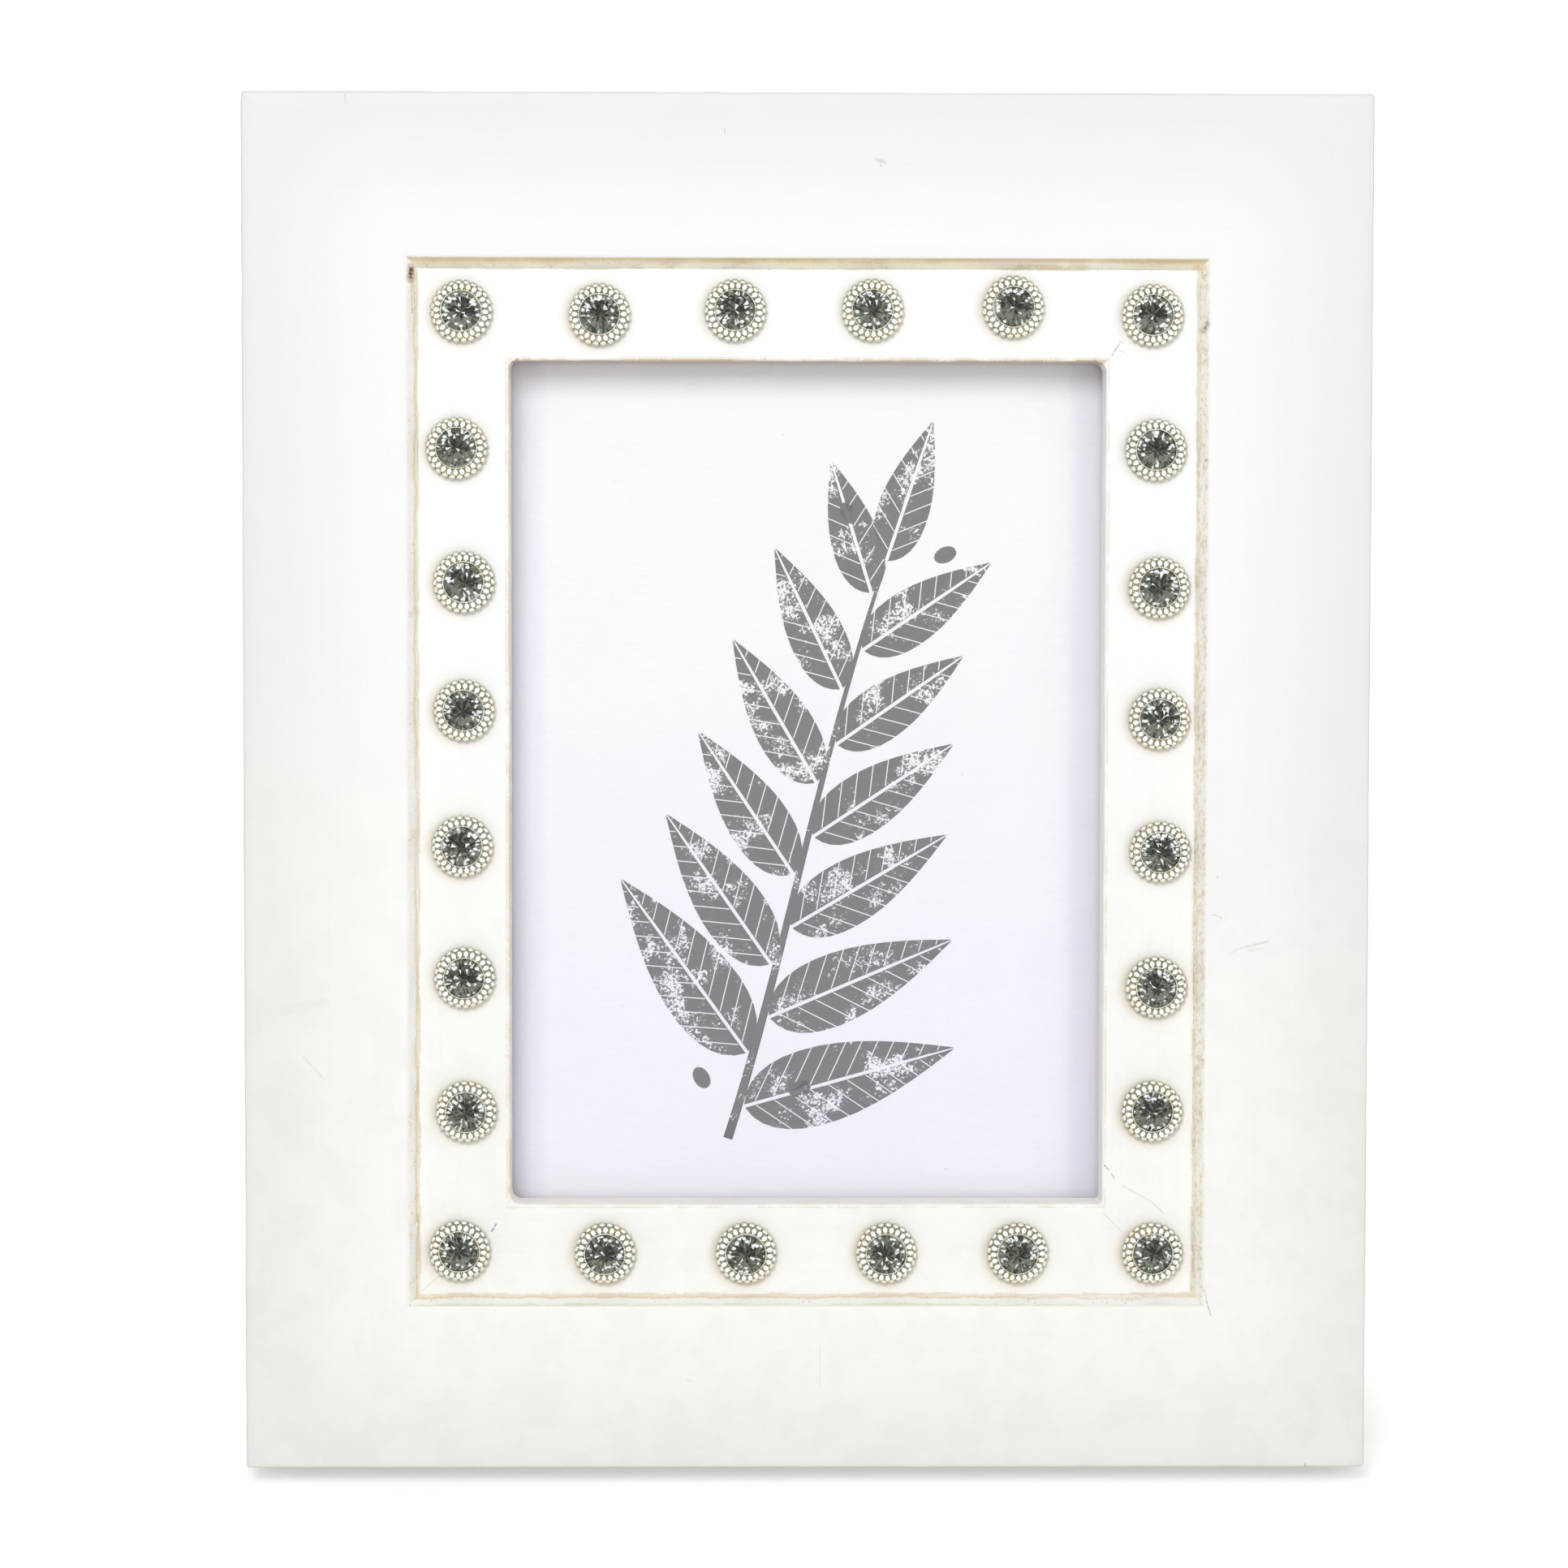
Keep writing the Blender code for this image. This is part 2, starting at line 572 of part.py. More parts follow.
def make_hinge(metal, frame_empty, leg_empty):
    """Two leaves on one pin. A tongue on the moving leaf stops it against the fixed one.

    Each leaf is drawn with its flat in front of the pin's axis and above it. The
    moving one is then turned half round, so that it hangs behind the leg.
    """
    knuckle_room = KNUCKLE_RADIUS + GAP
    half_centre = CENTRE_KNUCKLE / 2
    end_knuckle = HINGE_WIDTH / 2 - half_centre - GAP
    leaf_depth = -(KNUCKLE_BORE + LEAF_THICKNESS / 2)
    hinge_place = Vector((0, HINGE_DEPTH, HINGE_HEIGHT))

    fixed_outline = [
        (half_centre + GAP, knuckle_room),
        (half_centre + GAP, LEAF_START),
        (HINGE_WIDTH / 2, LEAF_START),
    ] + leaf_corner()
    fixed = add_object(
        "hinge_leaf_fixed", leaf_mesh("hinge_leaf_fixed", fixed_outline), metal, frame_empty,
        hinge_place + Vector((0, leaf_depth, 0)), FACE_FORWARD,
    )
    for side in (-1, 1):
        middle = side * (half_centre + GAP + end_knuckle / 2)
        knuckle = as_cutter(add_object(
            f"end_knuckle_{side}", knuckle_mesh("end_knuckle", end_knuckle), None, frame_empty,
            hinge_place + Vector((middle, 0, 0)), ALONG_PIN,
        ))
        add_boolean(fixed, knuckle, "UNION")

    moving_outline = [
        (half_centre, LEAF_START),
        (half_centre, knuckle_room),
        (HINGE_WIDTH / 2, knuckle_room + LEAF_SHOULDER_FALL),
    ] + leaf_corner()
    half_round = Matrix.Rotation(math.pi, 4, "X")
    moving = add_object(
        "hinge_leaf_moving", leaf_mesh("hinge_leaf_moving", moving_outline), metal, leg_empty,
        (0, -leaf_depth, 0), half_round @ FACE_FORWARD,
    )
    centre_knuckle = as_cutter(add_object(
        "centre_knuckle", knuckle_mesh("centre_knuckle", CENTRE_KNUCKLE), None, leg_empty,
        (0, 0, 0), ALONG_PIN,
    ))
    add_boolean(moving, centre_knuckle, "UNION")

    # With the leg open, the tongue lies a gap behind the fixed leaf's flat
    tongue_front = KNUCKLE_BORE - GAP
    tongue_rear = tongue_front - LEAF_THICKNESS
    inside_wall = math.sqrt(KNUCKLE_BORE ** 2 - tongue_rear ** 2)
    outside_wall = math.sqrt(KNUCKLE_RADIUS ** 2 - tongue_front ** 2)
    tongue_root = (inside_wall + outside_wall) / 2
    tongue_size = (STOP_WIDTH, LEAF_THICKNESS, STOP_REACH - tongue_root)
    tongue_middle = (0, -(tongue_front + tongue_rear) / 2, (STOP_REACH + tongue_root) / 2)
    tongue = as_cutter(add_object(
        "stop_tongue", box_mesh("stop_tongue", tongue_size, tongue_middle), None, leg_empty,
        (0, 0, 0), Matrix.Rotation(-OPEN_ANGLE, 4, "X"),
    ))
    add_boolean(moving, tongue, "UNION")

    half_pin = HINGE_WIDTH / 2 + GAP
    pin_end = half_pin + PIN_HEAD_THICKNESS
    pin_profile = [
        (0, pin_end),
        (PIN_HEAD_RADIUS, pin_end),
        (PIN_HEAD_RADIUS, half_pin),
        (HINGE_PIN_RADIUS, half_pin),
        (HINGE_PIN_RADIUS, -half_pin),
        (PIN_HEAD_RADIUS, -half_pin),
        (PIN_HEAD_RADIUS, -pin_end),
        (0, -pin_end),
    ]
    turned_piece("hinge_pin", pin_profile, metal, frame_empty, hinge_place, ALONG_PIN)


def make_rivets(name, carrier, sheet_thickness, middle, turn, metal, parent):
    """Two rivets through a leaf and the sheet it holds, clinched in a counterbore.

    The rivet's own Z points out of the leaf, with 0 on the leaf's far side.
    """
    sheet_top = -(LEAF_THICKNESS + GAP)
    sheet_bottom = sheet_top - sheet_thickness
    clinch_bottom = sheet_bottom + GAP
    clinch_top = clinch_bottom + CLINCH_THICKNESS
    profile = dome_profile(RIVET_HEAD_RADIUS, RIVET_HEAD_HEIGHT, GAP) + [
        (RIVET_RADIUS, GAP),
        (RIVET_RADIUS, clinch_top),
        (CLINCH_RADIUS, clinch_top),
        (CLINCH_RADIUS, clinch_bottom),
        (0, clinch_bottom),
    ]
    hole = rod_mesh(
        "rivet_hole", RIVET_RADIUS + PIN_CLEARANCE, sheet_bottom - GAP, sheet_top + GAP
    )
    counterbore = rod_mesh(
        "rivet_counterbore", CLINCH_RADIUS + PIN_CLEARANCE, sheet_bottom - GAP, clinch_top + GAP
    )
    for side, word in ((-1, "left"), (1, "right")):
        place = Vector(middle) + Vector((side * RIVET_SPREAD / 2, 0, 0))
        turned_piece(f"{name}_{word}", profile, metal, parent, place, turn)
        for kind, mesh in (("hole", hole), ("counterbore", counterbore)):
            cutter = as_cutter(
                add_object(f"{name}_{kind}_{word}", mesh, None, parent, place, turn)
            )
            add_boolean(carrier, cutter)


def make_leg(hardboard, leg_empty):
    """A tapered leg whose foot is cut to lie flat on the floor when it stands open."""
    top = -(KNUCKLE_RADIUS + GAP)
    spare = LEG_THICKNESS
    foot = -(LEG_LENGTH + spare)
    corners = [
        (-LEG_TOP_WIDTH / 2, top),
        (-LEG_FOOT_WIDTH / 2, foot),
        (LEG_FOOT_WIDTH / 2, foot),
        (LEG_TOP_WIDTH / 2, top),
    ]
    outline = round_corners(corners, [LEG_CORNER, 0, 0, LEG_CORNER], ARRIS_STEPS)
    mesh = flat_mesh("strut_leg", [outline], LEG_THICKNESS)
    leg = bmesh.new()
    leg.from_mesh(mesh)
    bmesh.ops.rotate(leg, cent=(0, 0, 0), matrix=FACE_FORWARD.to_3x3(), verts=leg.verts)
    bmesh.ops.translate(leg, vec=(0, (LEG_FRONT + LEG_REAR) / 2, 0), verts=leg.verts)
    floor_down = Vector((0, -math.sin(LEG_TILT), -math.cos(LEG_TILT)))
    bmesh.ops.bisect_plane(
        leg,
        geom=leg.verts[:] + leg.edges[:] + leg.faces[:],
        plane_co=(0, 0, -LEG_LENGTH),
        plane_no=floor_down,
        clear_outer=True,
    )
    bmesh.ops.holes_fill(leg, edges=leg.edges)
    leg.to_mesh(mesh)
    leg.free()
    return add_object("strut_leg", mesh, hardboard, leg_empty)


# Turn buttons

def make_buttons(bands, metal, parent):
    """Four turn buttons, each on its own screw in the back of a side band."""
    outline = arc_points((0, 0), BUTTON_ROOT_RADIUS, math.pi / 2, 3 * math.pi / 2, 8)
    outline += arc_points(
        (BUTTON_REACH, 0), BUTTON_TIP_RADIUS, -math.pi / 2, math.pi / 2, 6
    )
    hole = circle_points(SCREW_RADIUS + PIN_CLEARANCE, SMALL_STEPS)
    mesh = flat_mesh("turn_button", [outline, hole], BUTTON_THICKNESS)
    head_base = GAP + BUTTON_THICKNESS + GAP
    profile = dome_profile(SCREW_HEAD_RADIUS, SCREW_HEAD_HEIGHT, head_base) + [
        (SCREW_RADIUS, head_base),
        (SCREW_RADIUS, -SCREW_DEPTH + SCREW_RADIUS),
        (0, -SCREW_DEPTH),
    ]
    pilot = rod_mesh(
        "pilot_hole", SCREW_RADIUS + PIN_CLEARANCE, -SCREW_DEPTH - GAP, GAP
    )
    for column, side in (("left", -1), ("right", 1)):
        for row, up in (("lower", -1), ("upper", 1)):
            x = side * (FRAME_WIDTH / 2 - BUTTON_INSET)
            z = FRAME_HEIGHT / 2 + up * BUTTON_SPACING / 2
            towards_middle = Matrix.Rotation(math.pi if side > 0 else 0, 4, "Y")
            add_object(
                f"turn_button_{column}_{row}", mesh.copy(), metal, parent,
                (x, BOARD_THICKNESS + GAP + BUTTON_THICKNESS / 2, z),
                towards_middle @ FACE_FORWARD,
            )
            place = (x, BOARD_THICKNESS, z)
            turned_piece(
                f"button_screw_{column}_{row}", profile, metal, parent, place, FACE_BACK
            )
            cutter = as_cutter(
                add_object(f"pilot_hole_{column}_{row}", pilot, None, parent, place, FACE_BACK)
            )
            add_boolean(bands[column], cutter)


# Sawtooth hanger

def make_hanger(top_board, metal, parent):
    """A strip with a toothed edge, bent so that the toothed stretch stands off the wood."""
    half_bar = HANGER_BAR / 2
    half_width = HANGER_WIDTH / 2
    half_height = HANGER_HEIGHT / 2
    tooth = HANGER_BAR / TOOTH_COUNT
    teeth = []
    for i in range(TOOTH_COUNT):
        teeth.append((-half_bar + i * tooth, -half_height))
        teeth.append((-half_bar + (i + 0.5) * tooth, -half_height + TOOTH_DEPTH))
    teeth.append((half_bar, -half_height))
    end = half_width - HANGER_END_RADIUS
    shoulder = half_height - HANGER_END_RADIUS
    right_end = arc_points((end, -shoulder), HANGER_END_RADIUS, -math.pi / 2, 0, ARRIS_STEPS)
    right_end += arc_points((end, shoulder), HANGER_END_RADIUS, 0, math.pi / 2, ARRIS_STEPS)
    left_end = [(-x, -y) for x, y in right_end]
    holes = [
        circle_points(NAIL_RADIUS + PIN_CLEARANCE, SMALL_STEPS, (side * NAIL_SPREAD / 2, 0))
        for side in (-1, 1)
    ]
    mesh = flat_mesh("sawtooth_hanger", [teeth + right_end + left_end] + holes, HANGER_THICKNESS)
    strip = bmesh.new()
    strip.from_mesh(mesh)
    bend_lines = [half_bar, half_bar + HANGER_RAMP]
    for line in bend_lines + [-line for line in bend_lines]:
        bmesh.ops.bisect_plane(
            strip,
            geom=strip.verts[:] + strip.edges[:] + strip.faces[:],
            plane_co=(line, 0, 0),
            plane_no=(1, 0, 0),
        )
    bend_reach = half_bar + HANGER_RAMP / 2
    for corner in strip.verts:
        if abs(corner.co.x) < bend_reach:
            corner.co.z -= HANGER_STANDOFF
    bmesh.ops.triangulate(strip, faces=strip.faces)
    strip.to_mesh(mesh)
    strip.free()
    height = FRAME_HEIGHT - HANGER_DROP
    strip_middle = BOARD_THICKNESS + GAP + HANGER_THICKNESS / 2
    add_object("sawtooth_hanger", mesh, metal, parent, (0, strip_middle, height), FACE_FORWARD)

    head_base = GAP + HANGER_THICKNESS + GAP
    profile = [
        (0, head_base + NAIL_HEAD_HEIGHT),
        (NAIL_HEAD_RADIUS, head_base + NAIL_HEAD_HEIGHT),
        (NAIL_HEAD_RADIUS, head_base),
        (NAIL_RADIUS, head_base),
        (NAIL_RADIUS, -NAIL_DEPTH + NAIL_RADIUS),
        (0, -NAIL_DEPTH),
    ]
    nail_hole = rod_mesh("nail_hole", NAIL_RADIUS + PIN_CLEARANCE, -NAIL_DEPTH - GAP, GAP)
    for side, word in ((-1, "left"), (1, "right")):
        place = (side * NAIL_SPREAD / 2, BOARD_THICKNESS, height)
        turned_piece(f"hanger_nail_{word}", profile, metal, parent, place, FACE_BACK)
        cutter = as_cutter(
            add_object(f"nail_hole_{word}", nail_hole, None, parent, place, FACE_BACK)
        )
        add_boolean(top_board, cutter)


# Stance

def standing_place():
    """Where the frame's bottom front corner goes, so that the floor is at Z = 0 and the
    part's box is centred on the origin from front to back."""
    front = BOARD_ARRIS * (math.cos(LEAN) + math.sin(LEAN) - 1)
    pin_back = HINGE_DEPTH * math.cos(LEAN) + HINGE_HEIGHT * math.sin(LEAN)
    foot_back = pin_back + LEG_LENGTH * math.sin(LEG_TILT) + LEG_REAR / math.cos(LEG_TILT)
    return (0, -(front + foot_back) / 2, BOARD_THICKNESS * math.sin(LEAN))


def make_frame():
    white_paint = make_material("distressed_white_paint", (0.93, 0.92, 0.88), 0.55)
    silver = make_material("silver_plate", (0.80, 0.80, 0.78), 0.18, 1.0)
    glass = make_material("clear_glass", (0.95, 0.97, 0.96), 0.03, 0.0, 0.15)
    paper = make_material("print_paper", (0.86, 0.86, 0.92), 0.75)
    card = make_material("grey_card", (0.55, 0.53, 0.50), 0.9)
    hardboard = make_material("brown_hardboard", (0.26, 0.16, 0.09), 0.7)
    steel = make_material("zinc_plated_steel", (0.62, 0.62, 0.60), 0.35, 1.0)

    upright = bpy.data.objects.new("frame_upright", None)
    frame_collection.objects.link(upright)
    upright.location = standing_place()
    upright.rotation_euler = (-LEAN, 0, 0)

    leg_pivot = bpy.data.objects.new("strut_pivot", None)
    frame_collection.objects.link(leg_pivot)
    leg_pivot.parent = upright
    leg_pivot.location = (0, HINGE_DEPTH, HINGE_HEIGHT)
    leg_pivot.rotation_euler = (OPEN_ANGLE, 0, 0)

    boards = make_outer_boards(white_paint, upright)
    bands = make_bands(white_paint, upright)
    make_vnails(boards, steel, upright)
    back_board = make_sheets(glass, paper, card, hardboard, upright)
    make_studs(silver, upright)

    make_hinge(steel, upright, leg_pivot)
    leg = make_leg(hardboard, leg_pivot)
    fixed_leaf_rear = (0, BACK_REAR + GAP + LEAF_THICKNESS, HINGE_HEIGHT + RIVET_DROP)
    make_rivets(
        "board_rivet", back_board, BACK_THICKNESS, fixed_leaf_rear, FACE_BACK, steel, upright
    )
    moving_leaf_rear = (0, KNUCKLE_BORE + LEAF_THICKNESS, -RIVET_DROP)
    make_rivets(
        "leg_rivet", leg, LEG_THICKNESS, moving_leaf_rear, FACE_BACK, steel, leg_pivot
    )
    make_buttons(bands, steel, upright)
    make_hanger(boards["top"], steel, upright)


for old_object in list(bpy.data.objects):
    bpy.data.objects.remove(old_object)
frame_collection = bpy.data.collections.new("wooden_picture_frame")
cutter_collection = bpy.data.collections.new("cutters")
bpy.context.scene.collection.children.link(frame_collection)
bpy.context.scene.collection.children.link(cutter_collection)
make_frame()
bpy.context.view_layer.update()
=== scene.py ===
import json
import math
import random

import bmesh
import bpy
from mathutils import Matrix, Vector


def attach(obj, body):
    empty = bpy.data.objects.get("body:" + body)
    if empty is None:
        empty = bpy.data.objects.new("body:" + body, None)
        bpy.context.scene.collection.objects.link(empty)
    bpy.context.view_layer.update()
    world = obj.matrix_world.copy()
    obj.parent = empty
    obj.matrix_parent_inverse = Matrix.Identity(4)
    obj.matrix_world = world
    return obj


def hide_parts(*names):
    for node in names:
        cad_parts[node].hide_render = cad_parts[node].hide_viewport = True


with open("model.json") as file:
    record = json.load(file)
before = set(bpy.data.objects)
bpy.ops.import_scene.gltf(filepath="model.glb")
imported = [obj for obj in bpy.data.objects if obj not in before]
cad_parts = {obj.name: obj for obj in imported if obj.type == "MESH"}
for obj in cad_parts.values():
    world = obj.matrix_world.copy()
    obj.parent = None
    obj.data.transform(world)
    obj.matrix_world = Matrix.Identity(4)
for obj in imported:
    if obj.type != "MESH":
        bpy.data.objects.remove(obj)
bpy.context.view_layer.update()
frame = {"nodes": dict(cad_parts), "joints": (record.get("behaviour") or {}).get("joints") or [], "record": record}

mm = 0.001
tiny = 0.00001
random.seed(7)

# The frame leans back on its leg. Everything is modelled upright and leaned at the end:
# x runs across, y from the front face into the depth, z up from the bottom edge.
mounts = {mount["name"]: mount for mount in frame["record"]["mounts"]}
joints = {joint["name"]: joint for joint in frame["joints"]}
sides = ("top", "bottom", "left", "right")
boards = ["outer_board_" + side for side in sides]
bands = ["inner_band_" + side for side in sides]

backward = Vector(joints["turn_button_left_upper_turn"]["axis"])
upward = -Vector(mounts["bottom_edge"]["axis"])
leanOnly = Matrix((backward.cross(upward), backward, upward)).transposed().to_4x4()


def boxOf(matrix, *names):
    points = [matrix @ vertex.co for name in names for vertex in frame["nodes"][name].data.vertices]
    low = Vector([min(point[axis] for point in points) for axis in range(3)])
    high = Vector([max(point[axis] for point in points) for axis in range(3)])
    return low, high


frontEnd, backEnd = boxOf(leanOnly.inverted(), *boards)
frameThick = backEnd.y - frontEnd.y
cornerStone = Vector(mounts["bottom_edge"]["pos_m"]) - backward * frameThick / 2
stance = Matrix.Translation(cornerStone) @ leanOnly
toUpright = stance.inverted()


def uprightBox(*names):
    return boxOf(toUpright, *names)


boardLow, boardHigh = uprightBox(*boards)
bandLow, bandHigh = uprightBox(*bands)
glassFront = uprightBox("glass_pane")[0].y
paperFront = uprightBox("print_card")[0].y
frameWide = boardHigh.x - boardLow.x
frameTall = boardHigh.z - boardLow.z
middleHeight = frameTall / 2
recess = bandLow.y                                    # how far the band lies behind the boards
bandStart = boardHigh.x - bandHigh.x                  # from the outer edge to the band
sightInset = boardHigh.x + uprightBox("inner_band_left")[1].x
bandWidth = sightInset - bandStart


# Modelling by hand

def deselectAll():
    if bpy.context.mode != "OBJECT":
        bpy.ops.object.mode_set(mode="OBJECT")
    bpy.ops.object.select_all(action="DESELECT")


def named(name):
    piece = bpy.context.object
    piece.name = name
    piece.data.name = name
    return piece


def makeActive(piece):
    deselectAll()
    piece.select_set(True)
    bpy.context.view_layer.objects.active = piece


def editing(piece):
    makeActive(piece)
    bpy.ops.object.mode_set(mode="EDIT")
    bpy.ops.mesh.select_all(action="SELECT")


def doneEditing():
    bpy.ops.object.mode_set(mode="OBJECT")


def bakePlace(piece):
    makeActive(piece)
    bpy.ops.object.transform_apply(location=True, rotation=True, scale=True)


def pick(kind, test):
    # selects the vertices, edges or faces of the mesh in edit mode that pass the test
    bpy.ops.mesh.select_mode(type=kind)
    bpy.ops.mesh.select_all(action="DESELECT")
    data = bpy.context.object.data
    mesh = bmesh.from_edit_mesh(data)
    for item in {"VERT": mesh.verts, "EDGE": mesh.edges, "FACE": mesh.faces}[kind]:
        if test(item):
            item.select_set(True)
    mesh.select_flush_mode()
    bmesh.update_edit_mesh(data)


def middle(edge):
    return (edge.verts[0].co + edge.verts[1].co) / 2


def span(edge):
    return edge.verts[1].co - edge.verts[0].co


def extrude(x=0.0, y=0.0, z=0.0):
    bpy.ops.mesh.extrude_region_move(TRANSFORM_OT_translate={"value": (x, y, z)})


def narrow(ratio, height):
    # scales what is selected across the z axis, at the given height
    bpy.ops.transform.resize(value=(ratio, ratio, 1), center_override=(0, 0, height))


def subdivide(cuts):
    bpy.ops.mesh.subdivide(number_cuts=cuts)


def pointOut():
    bpy.ops.mesh.select_all(action="SELECT")
    bpy.ops.mesh.normals_make_consistent(inside=False)


def mergeAndPointOut(piece, distance=tiny):
    editing(piece)
    bpy.ops.mesh.remove_doubles(threshold=distance)
    pointOut()
    doneEditing()


def copyOf(source, name):
    twin = source.copy()
    twin.data = source.data.copy()
    twin.name = name
    twin.data.name = name
    bpy.context.collection.objects.link(twin)
    return twin


def joinAll(parts):
    makeActive(parts[0])
    for part in parts[1:]:
        part.select_set(True)
    bpy.ops.object.join()
    return parts[0]


def remove(*pieces):
    for piece in pieces:
        bpy.data.objects.remove(piece)


def applyAll(piece):
    makeActive(piece)
    for modifier in list(piece.modifiers):
        bpy.ops.object.modifier_apply(modifier=modifier.name)


def smooth(piece, degrees=35):
    makeActive(piece)
    bpy.ops.object.shade_smooth_by_angle(angle=math.radians(degrees))


def turned(degrees, axis):
    return Matrix.Rotation(math.radians(degrees), 4, axis)


def roughen(piece, group, weightOf, size, strength, level, depth=2):
    # pushes the surface inwards with clouds of the given size, where weightOf(point) isn't 0
    weights = piece.vertex_groups.new(name=group)
    for vertex in piece.data.vertices:
        amount = weightOf(vertex.co)
        if amount > 0:
            weights.add([vertex.index], min(amount, 1.0), "REPLACE")
    clouds = bpy.data.textures.new(piece.name + "_" + group, type="CLOUDS")
    clouds.noise_scale = size
    clouds.noise_depth = depth
    push = piece.modifiers.new(group, "DISPLACE")
    push.texture = clouds
    push.texture_coords = "LOCAL"
    push.vertex_group = group
    push.strength = strength
    push.mid_level = level


def settle(piece, body, slot, finish, *nodes):
    # leans the finished piece with the frame, and gives it its body and its finish
    piece.matrix_world = stance @ piece.matrix_world
    bakePlace(piece)
    piece.data.materials.clear()
    piece.data.materials.append(finish)
    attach(piece, body)
    if nodes:
        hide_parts(*nodes)


def dress(finish, *names):
    for name in names:
        for holder in frame["nodes"][name].material_slots:
            holder.material = finish


def store(piece, name, valueOf, kind="FLOAT"):
    # a number or a vector for each point of the mesh, which a material reads
    layer = piece.data.attributes.new(name, kind, "POINT")
    field = "value" if kind == "FLOAT" else "vector"
    for vertex in piece.data.vertices:
        setattr(layer.data[vertex.index], field, valueOf(vertex.co))


def step(value, start, end):
    part = min(max((value - start) / (end - start), 0.0), 1.0)
    return part * part * (3 - 2 * part)


# Shader helpers. Each adds its nodes to the tree that the given sockets belong to

def treeOf(*values):
    return next(value.id_data for value in values if isinstance(value, bpy.types.NodeSocket))


def node(tree, kind, **settings):
    made = tree.nodes.new(kind)
    for name, value in settings.items():
        setattr(made, name, value)
    return made


def feed(socket, value):
    if isinstance(value, bpy.types.NodeSocket):
        socket.id_data.links.new(value, socket)
    else:
        socket.default_value = value


def feedAll(made, values):
    for label, value in values.items():
        feed(made.inputs[label], value)
    return made


def added(kind, values, **settings):
    # what a new node gives, once its settings are made and its values fed in
    return feedAll(node(treeOf(*values.values()), kind, **settings), values).outputs


def calc(operation, *values, clamp=False):
    return added("ShaderNodeMath", dict(enumerate(values)), operation=operation, use_clamp=clamp)[0]


def times(first, second):
    return calc("MULTIPLY", first, second)


def timesPlus(value, factor, rest):
    return calc("MULTIPLY_ADD", value, factor, rest)


def plus(first, second):
    return calc("ADD", first, second)


def minus(first, second):
    return calc("SUBTRACT", first, second)


def largest(first, second):
    return calc("MAXIMUM", first, second)


def hypotenuse(first, second):
    return calc("SQRT", plus(calc("POWER", first, 2.0), calc("POWER", second, 2.0)))


def vectorCalc(operation, *values, output=0):
    return added("ShaderNodeVectorMath", dict(enumerate(values)), operation=operation)[output]


def scaled(vector, factor):
    return added("ShaderNodeVectorMath", {0: vector, "Scale": factor}, operation="SCALE")[0]


def fade(value, start, end, low=0.0, high=1.0):
    values = dict(enumerate((value, start, end, low, high)))
    return added("ShaderNodeMapRange", values, interpolation_type="SMOOTHSTEP")[0]


def noise(coords, scale, detail=3.0, roughness=0.5, distortion=0.0):
    return added("ShaderNodeTexNoise", {
        "Vector": coords, "Scale": scale, "Detail": detail, "Roughness": roughness, "Distortion": distortion,
    })["Fac"]


def cells(coords, scale):
    return added("ShaderNodeTexVoronoi", {"Vector": coords, "Scale": scale})


def specks(coords, scale, size):
    # scattered round dots: 1 in the middle of a cell, 0 beyond its size
    return fade(cells(coords, scale)["Distance"], size, size * 0.5)


def blend(factor, first, second, kind="MIX"):
    values = {0: factor, 6: first, 7: second}
    return added("ShaderNodeMix", values, data_type="RGBA", blend_type=kind, clamp_factor=True)[2]


def tint(colour, tone, mask, amount=1.0, kind="MIX"):
    if amount != 1.0:
        mask = times(mask, amount)
    return blend(mask, colour, tone, kind)


def blendValue(factor, first, second):
    values = {0: factor, 2: first, 3: second}
    return added("ShaderNodeMix", values, data_type="FLOAT", clamp_factor=True)[0]


def colourRamp(value, stops):
    made = feedAll(node(treeOf(value), "ShaderNodeValToRGB"), {0: value})
    ramp = made.color_ramp
    ramp.elements[0].position, ramp.elements[0].color = stops[0]
    ramp.elements[1].position, ramp.elements[1].color = stops[-1]
    for place, tone in stops[1:-1]:
        ramp.elements.new(place).color = tone
    return made.outputs["Color"]


def stretch(coords, scales):
    return added("ShaderNodeMapping", {"Vector": coords, "Scale": scales})[0]


def split(coords):
    return added("ShaderNodeSeparateXYZ", {0: coords})[:]


def stored(tree, name, output="Fac"):
    return node(tree, "ShaderNodeAttribute", attribute_name=name).outputs[output]


def bump(height, distance):
    return added("ShaderNodeBump", {"Height": height, "Distance": distance})["Normal"]


def uprightMillimetres(tree):
    # Object coordinates with the lean taken out again, in millimetres
    return added("ShaderNodeMapping", {
        "Vector": node(tree, "ShaderNodeTexCoord").outputs["Object"],
        "Location": toUpright.translation / mm,
        "Rotation": toUpright.to_euler(),
        "Scale": (1 / mm, 1 / mm, 1 / mm),
    })[0]


def plainMaterial(name):
    material = bpy.data.materials.new(name)
    material.use_nodes = True
    return material, material.node_tree.nodes["Principled BSDF"]


def surfaced(name, look):
    # a material whose shader is fed what look works out from the upright coordinates
    material, shader = plainMaterial(name)
    feedAll(shader, look(uprightMillimetres(material.node_tree)))
    return material


def makeGroup(name, inputs, outputs):
    # an input is named with the value that it has when nothing is fed in, and every output is a number
    group = bpy.data.node_groups.new(name, "ShaderNodeTree")
    for label, value in inputs.items():
        kind = "NodeSocketFloat" if isinstance(value, float) else "NodeSocketVector"
        group.interface.new_socket(label, in_out="INPUT", socket_type=kind).default_value = value
    for label in outputs:
        group.interface.new_socket(label, in_out="OUTPUT", socket_type="NodeSocketFloat")
    return group, group.nodes.new("NodeGroupInput").outputs, group.nodes.new("NodeGroupOutput")


def useGroup(group, values):
    return added("ShaderNodeGroup", values, node_tree=group)


def rgb(red, green, blue):
    return (red, green, blue, 1.0)


def grey(level):
    return rgb(level, level, level)


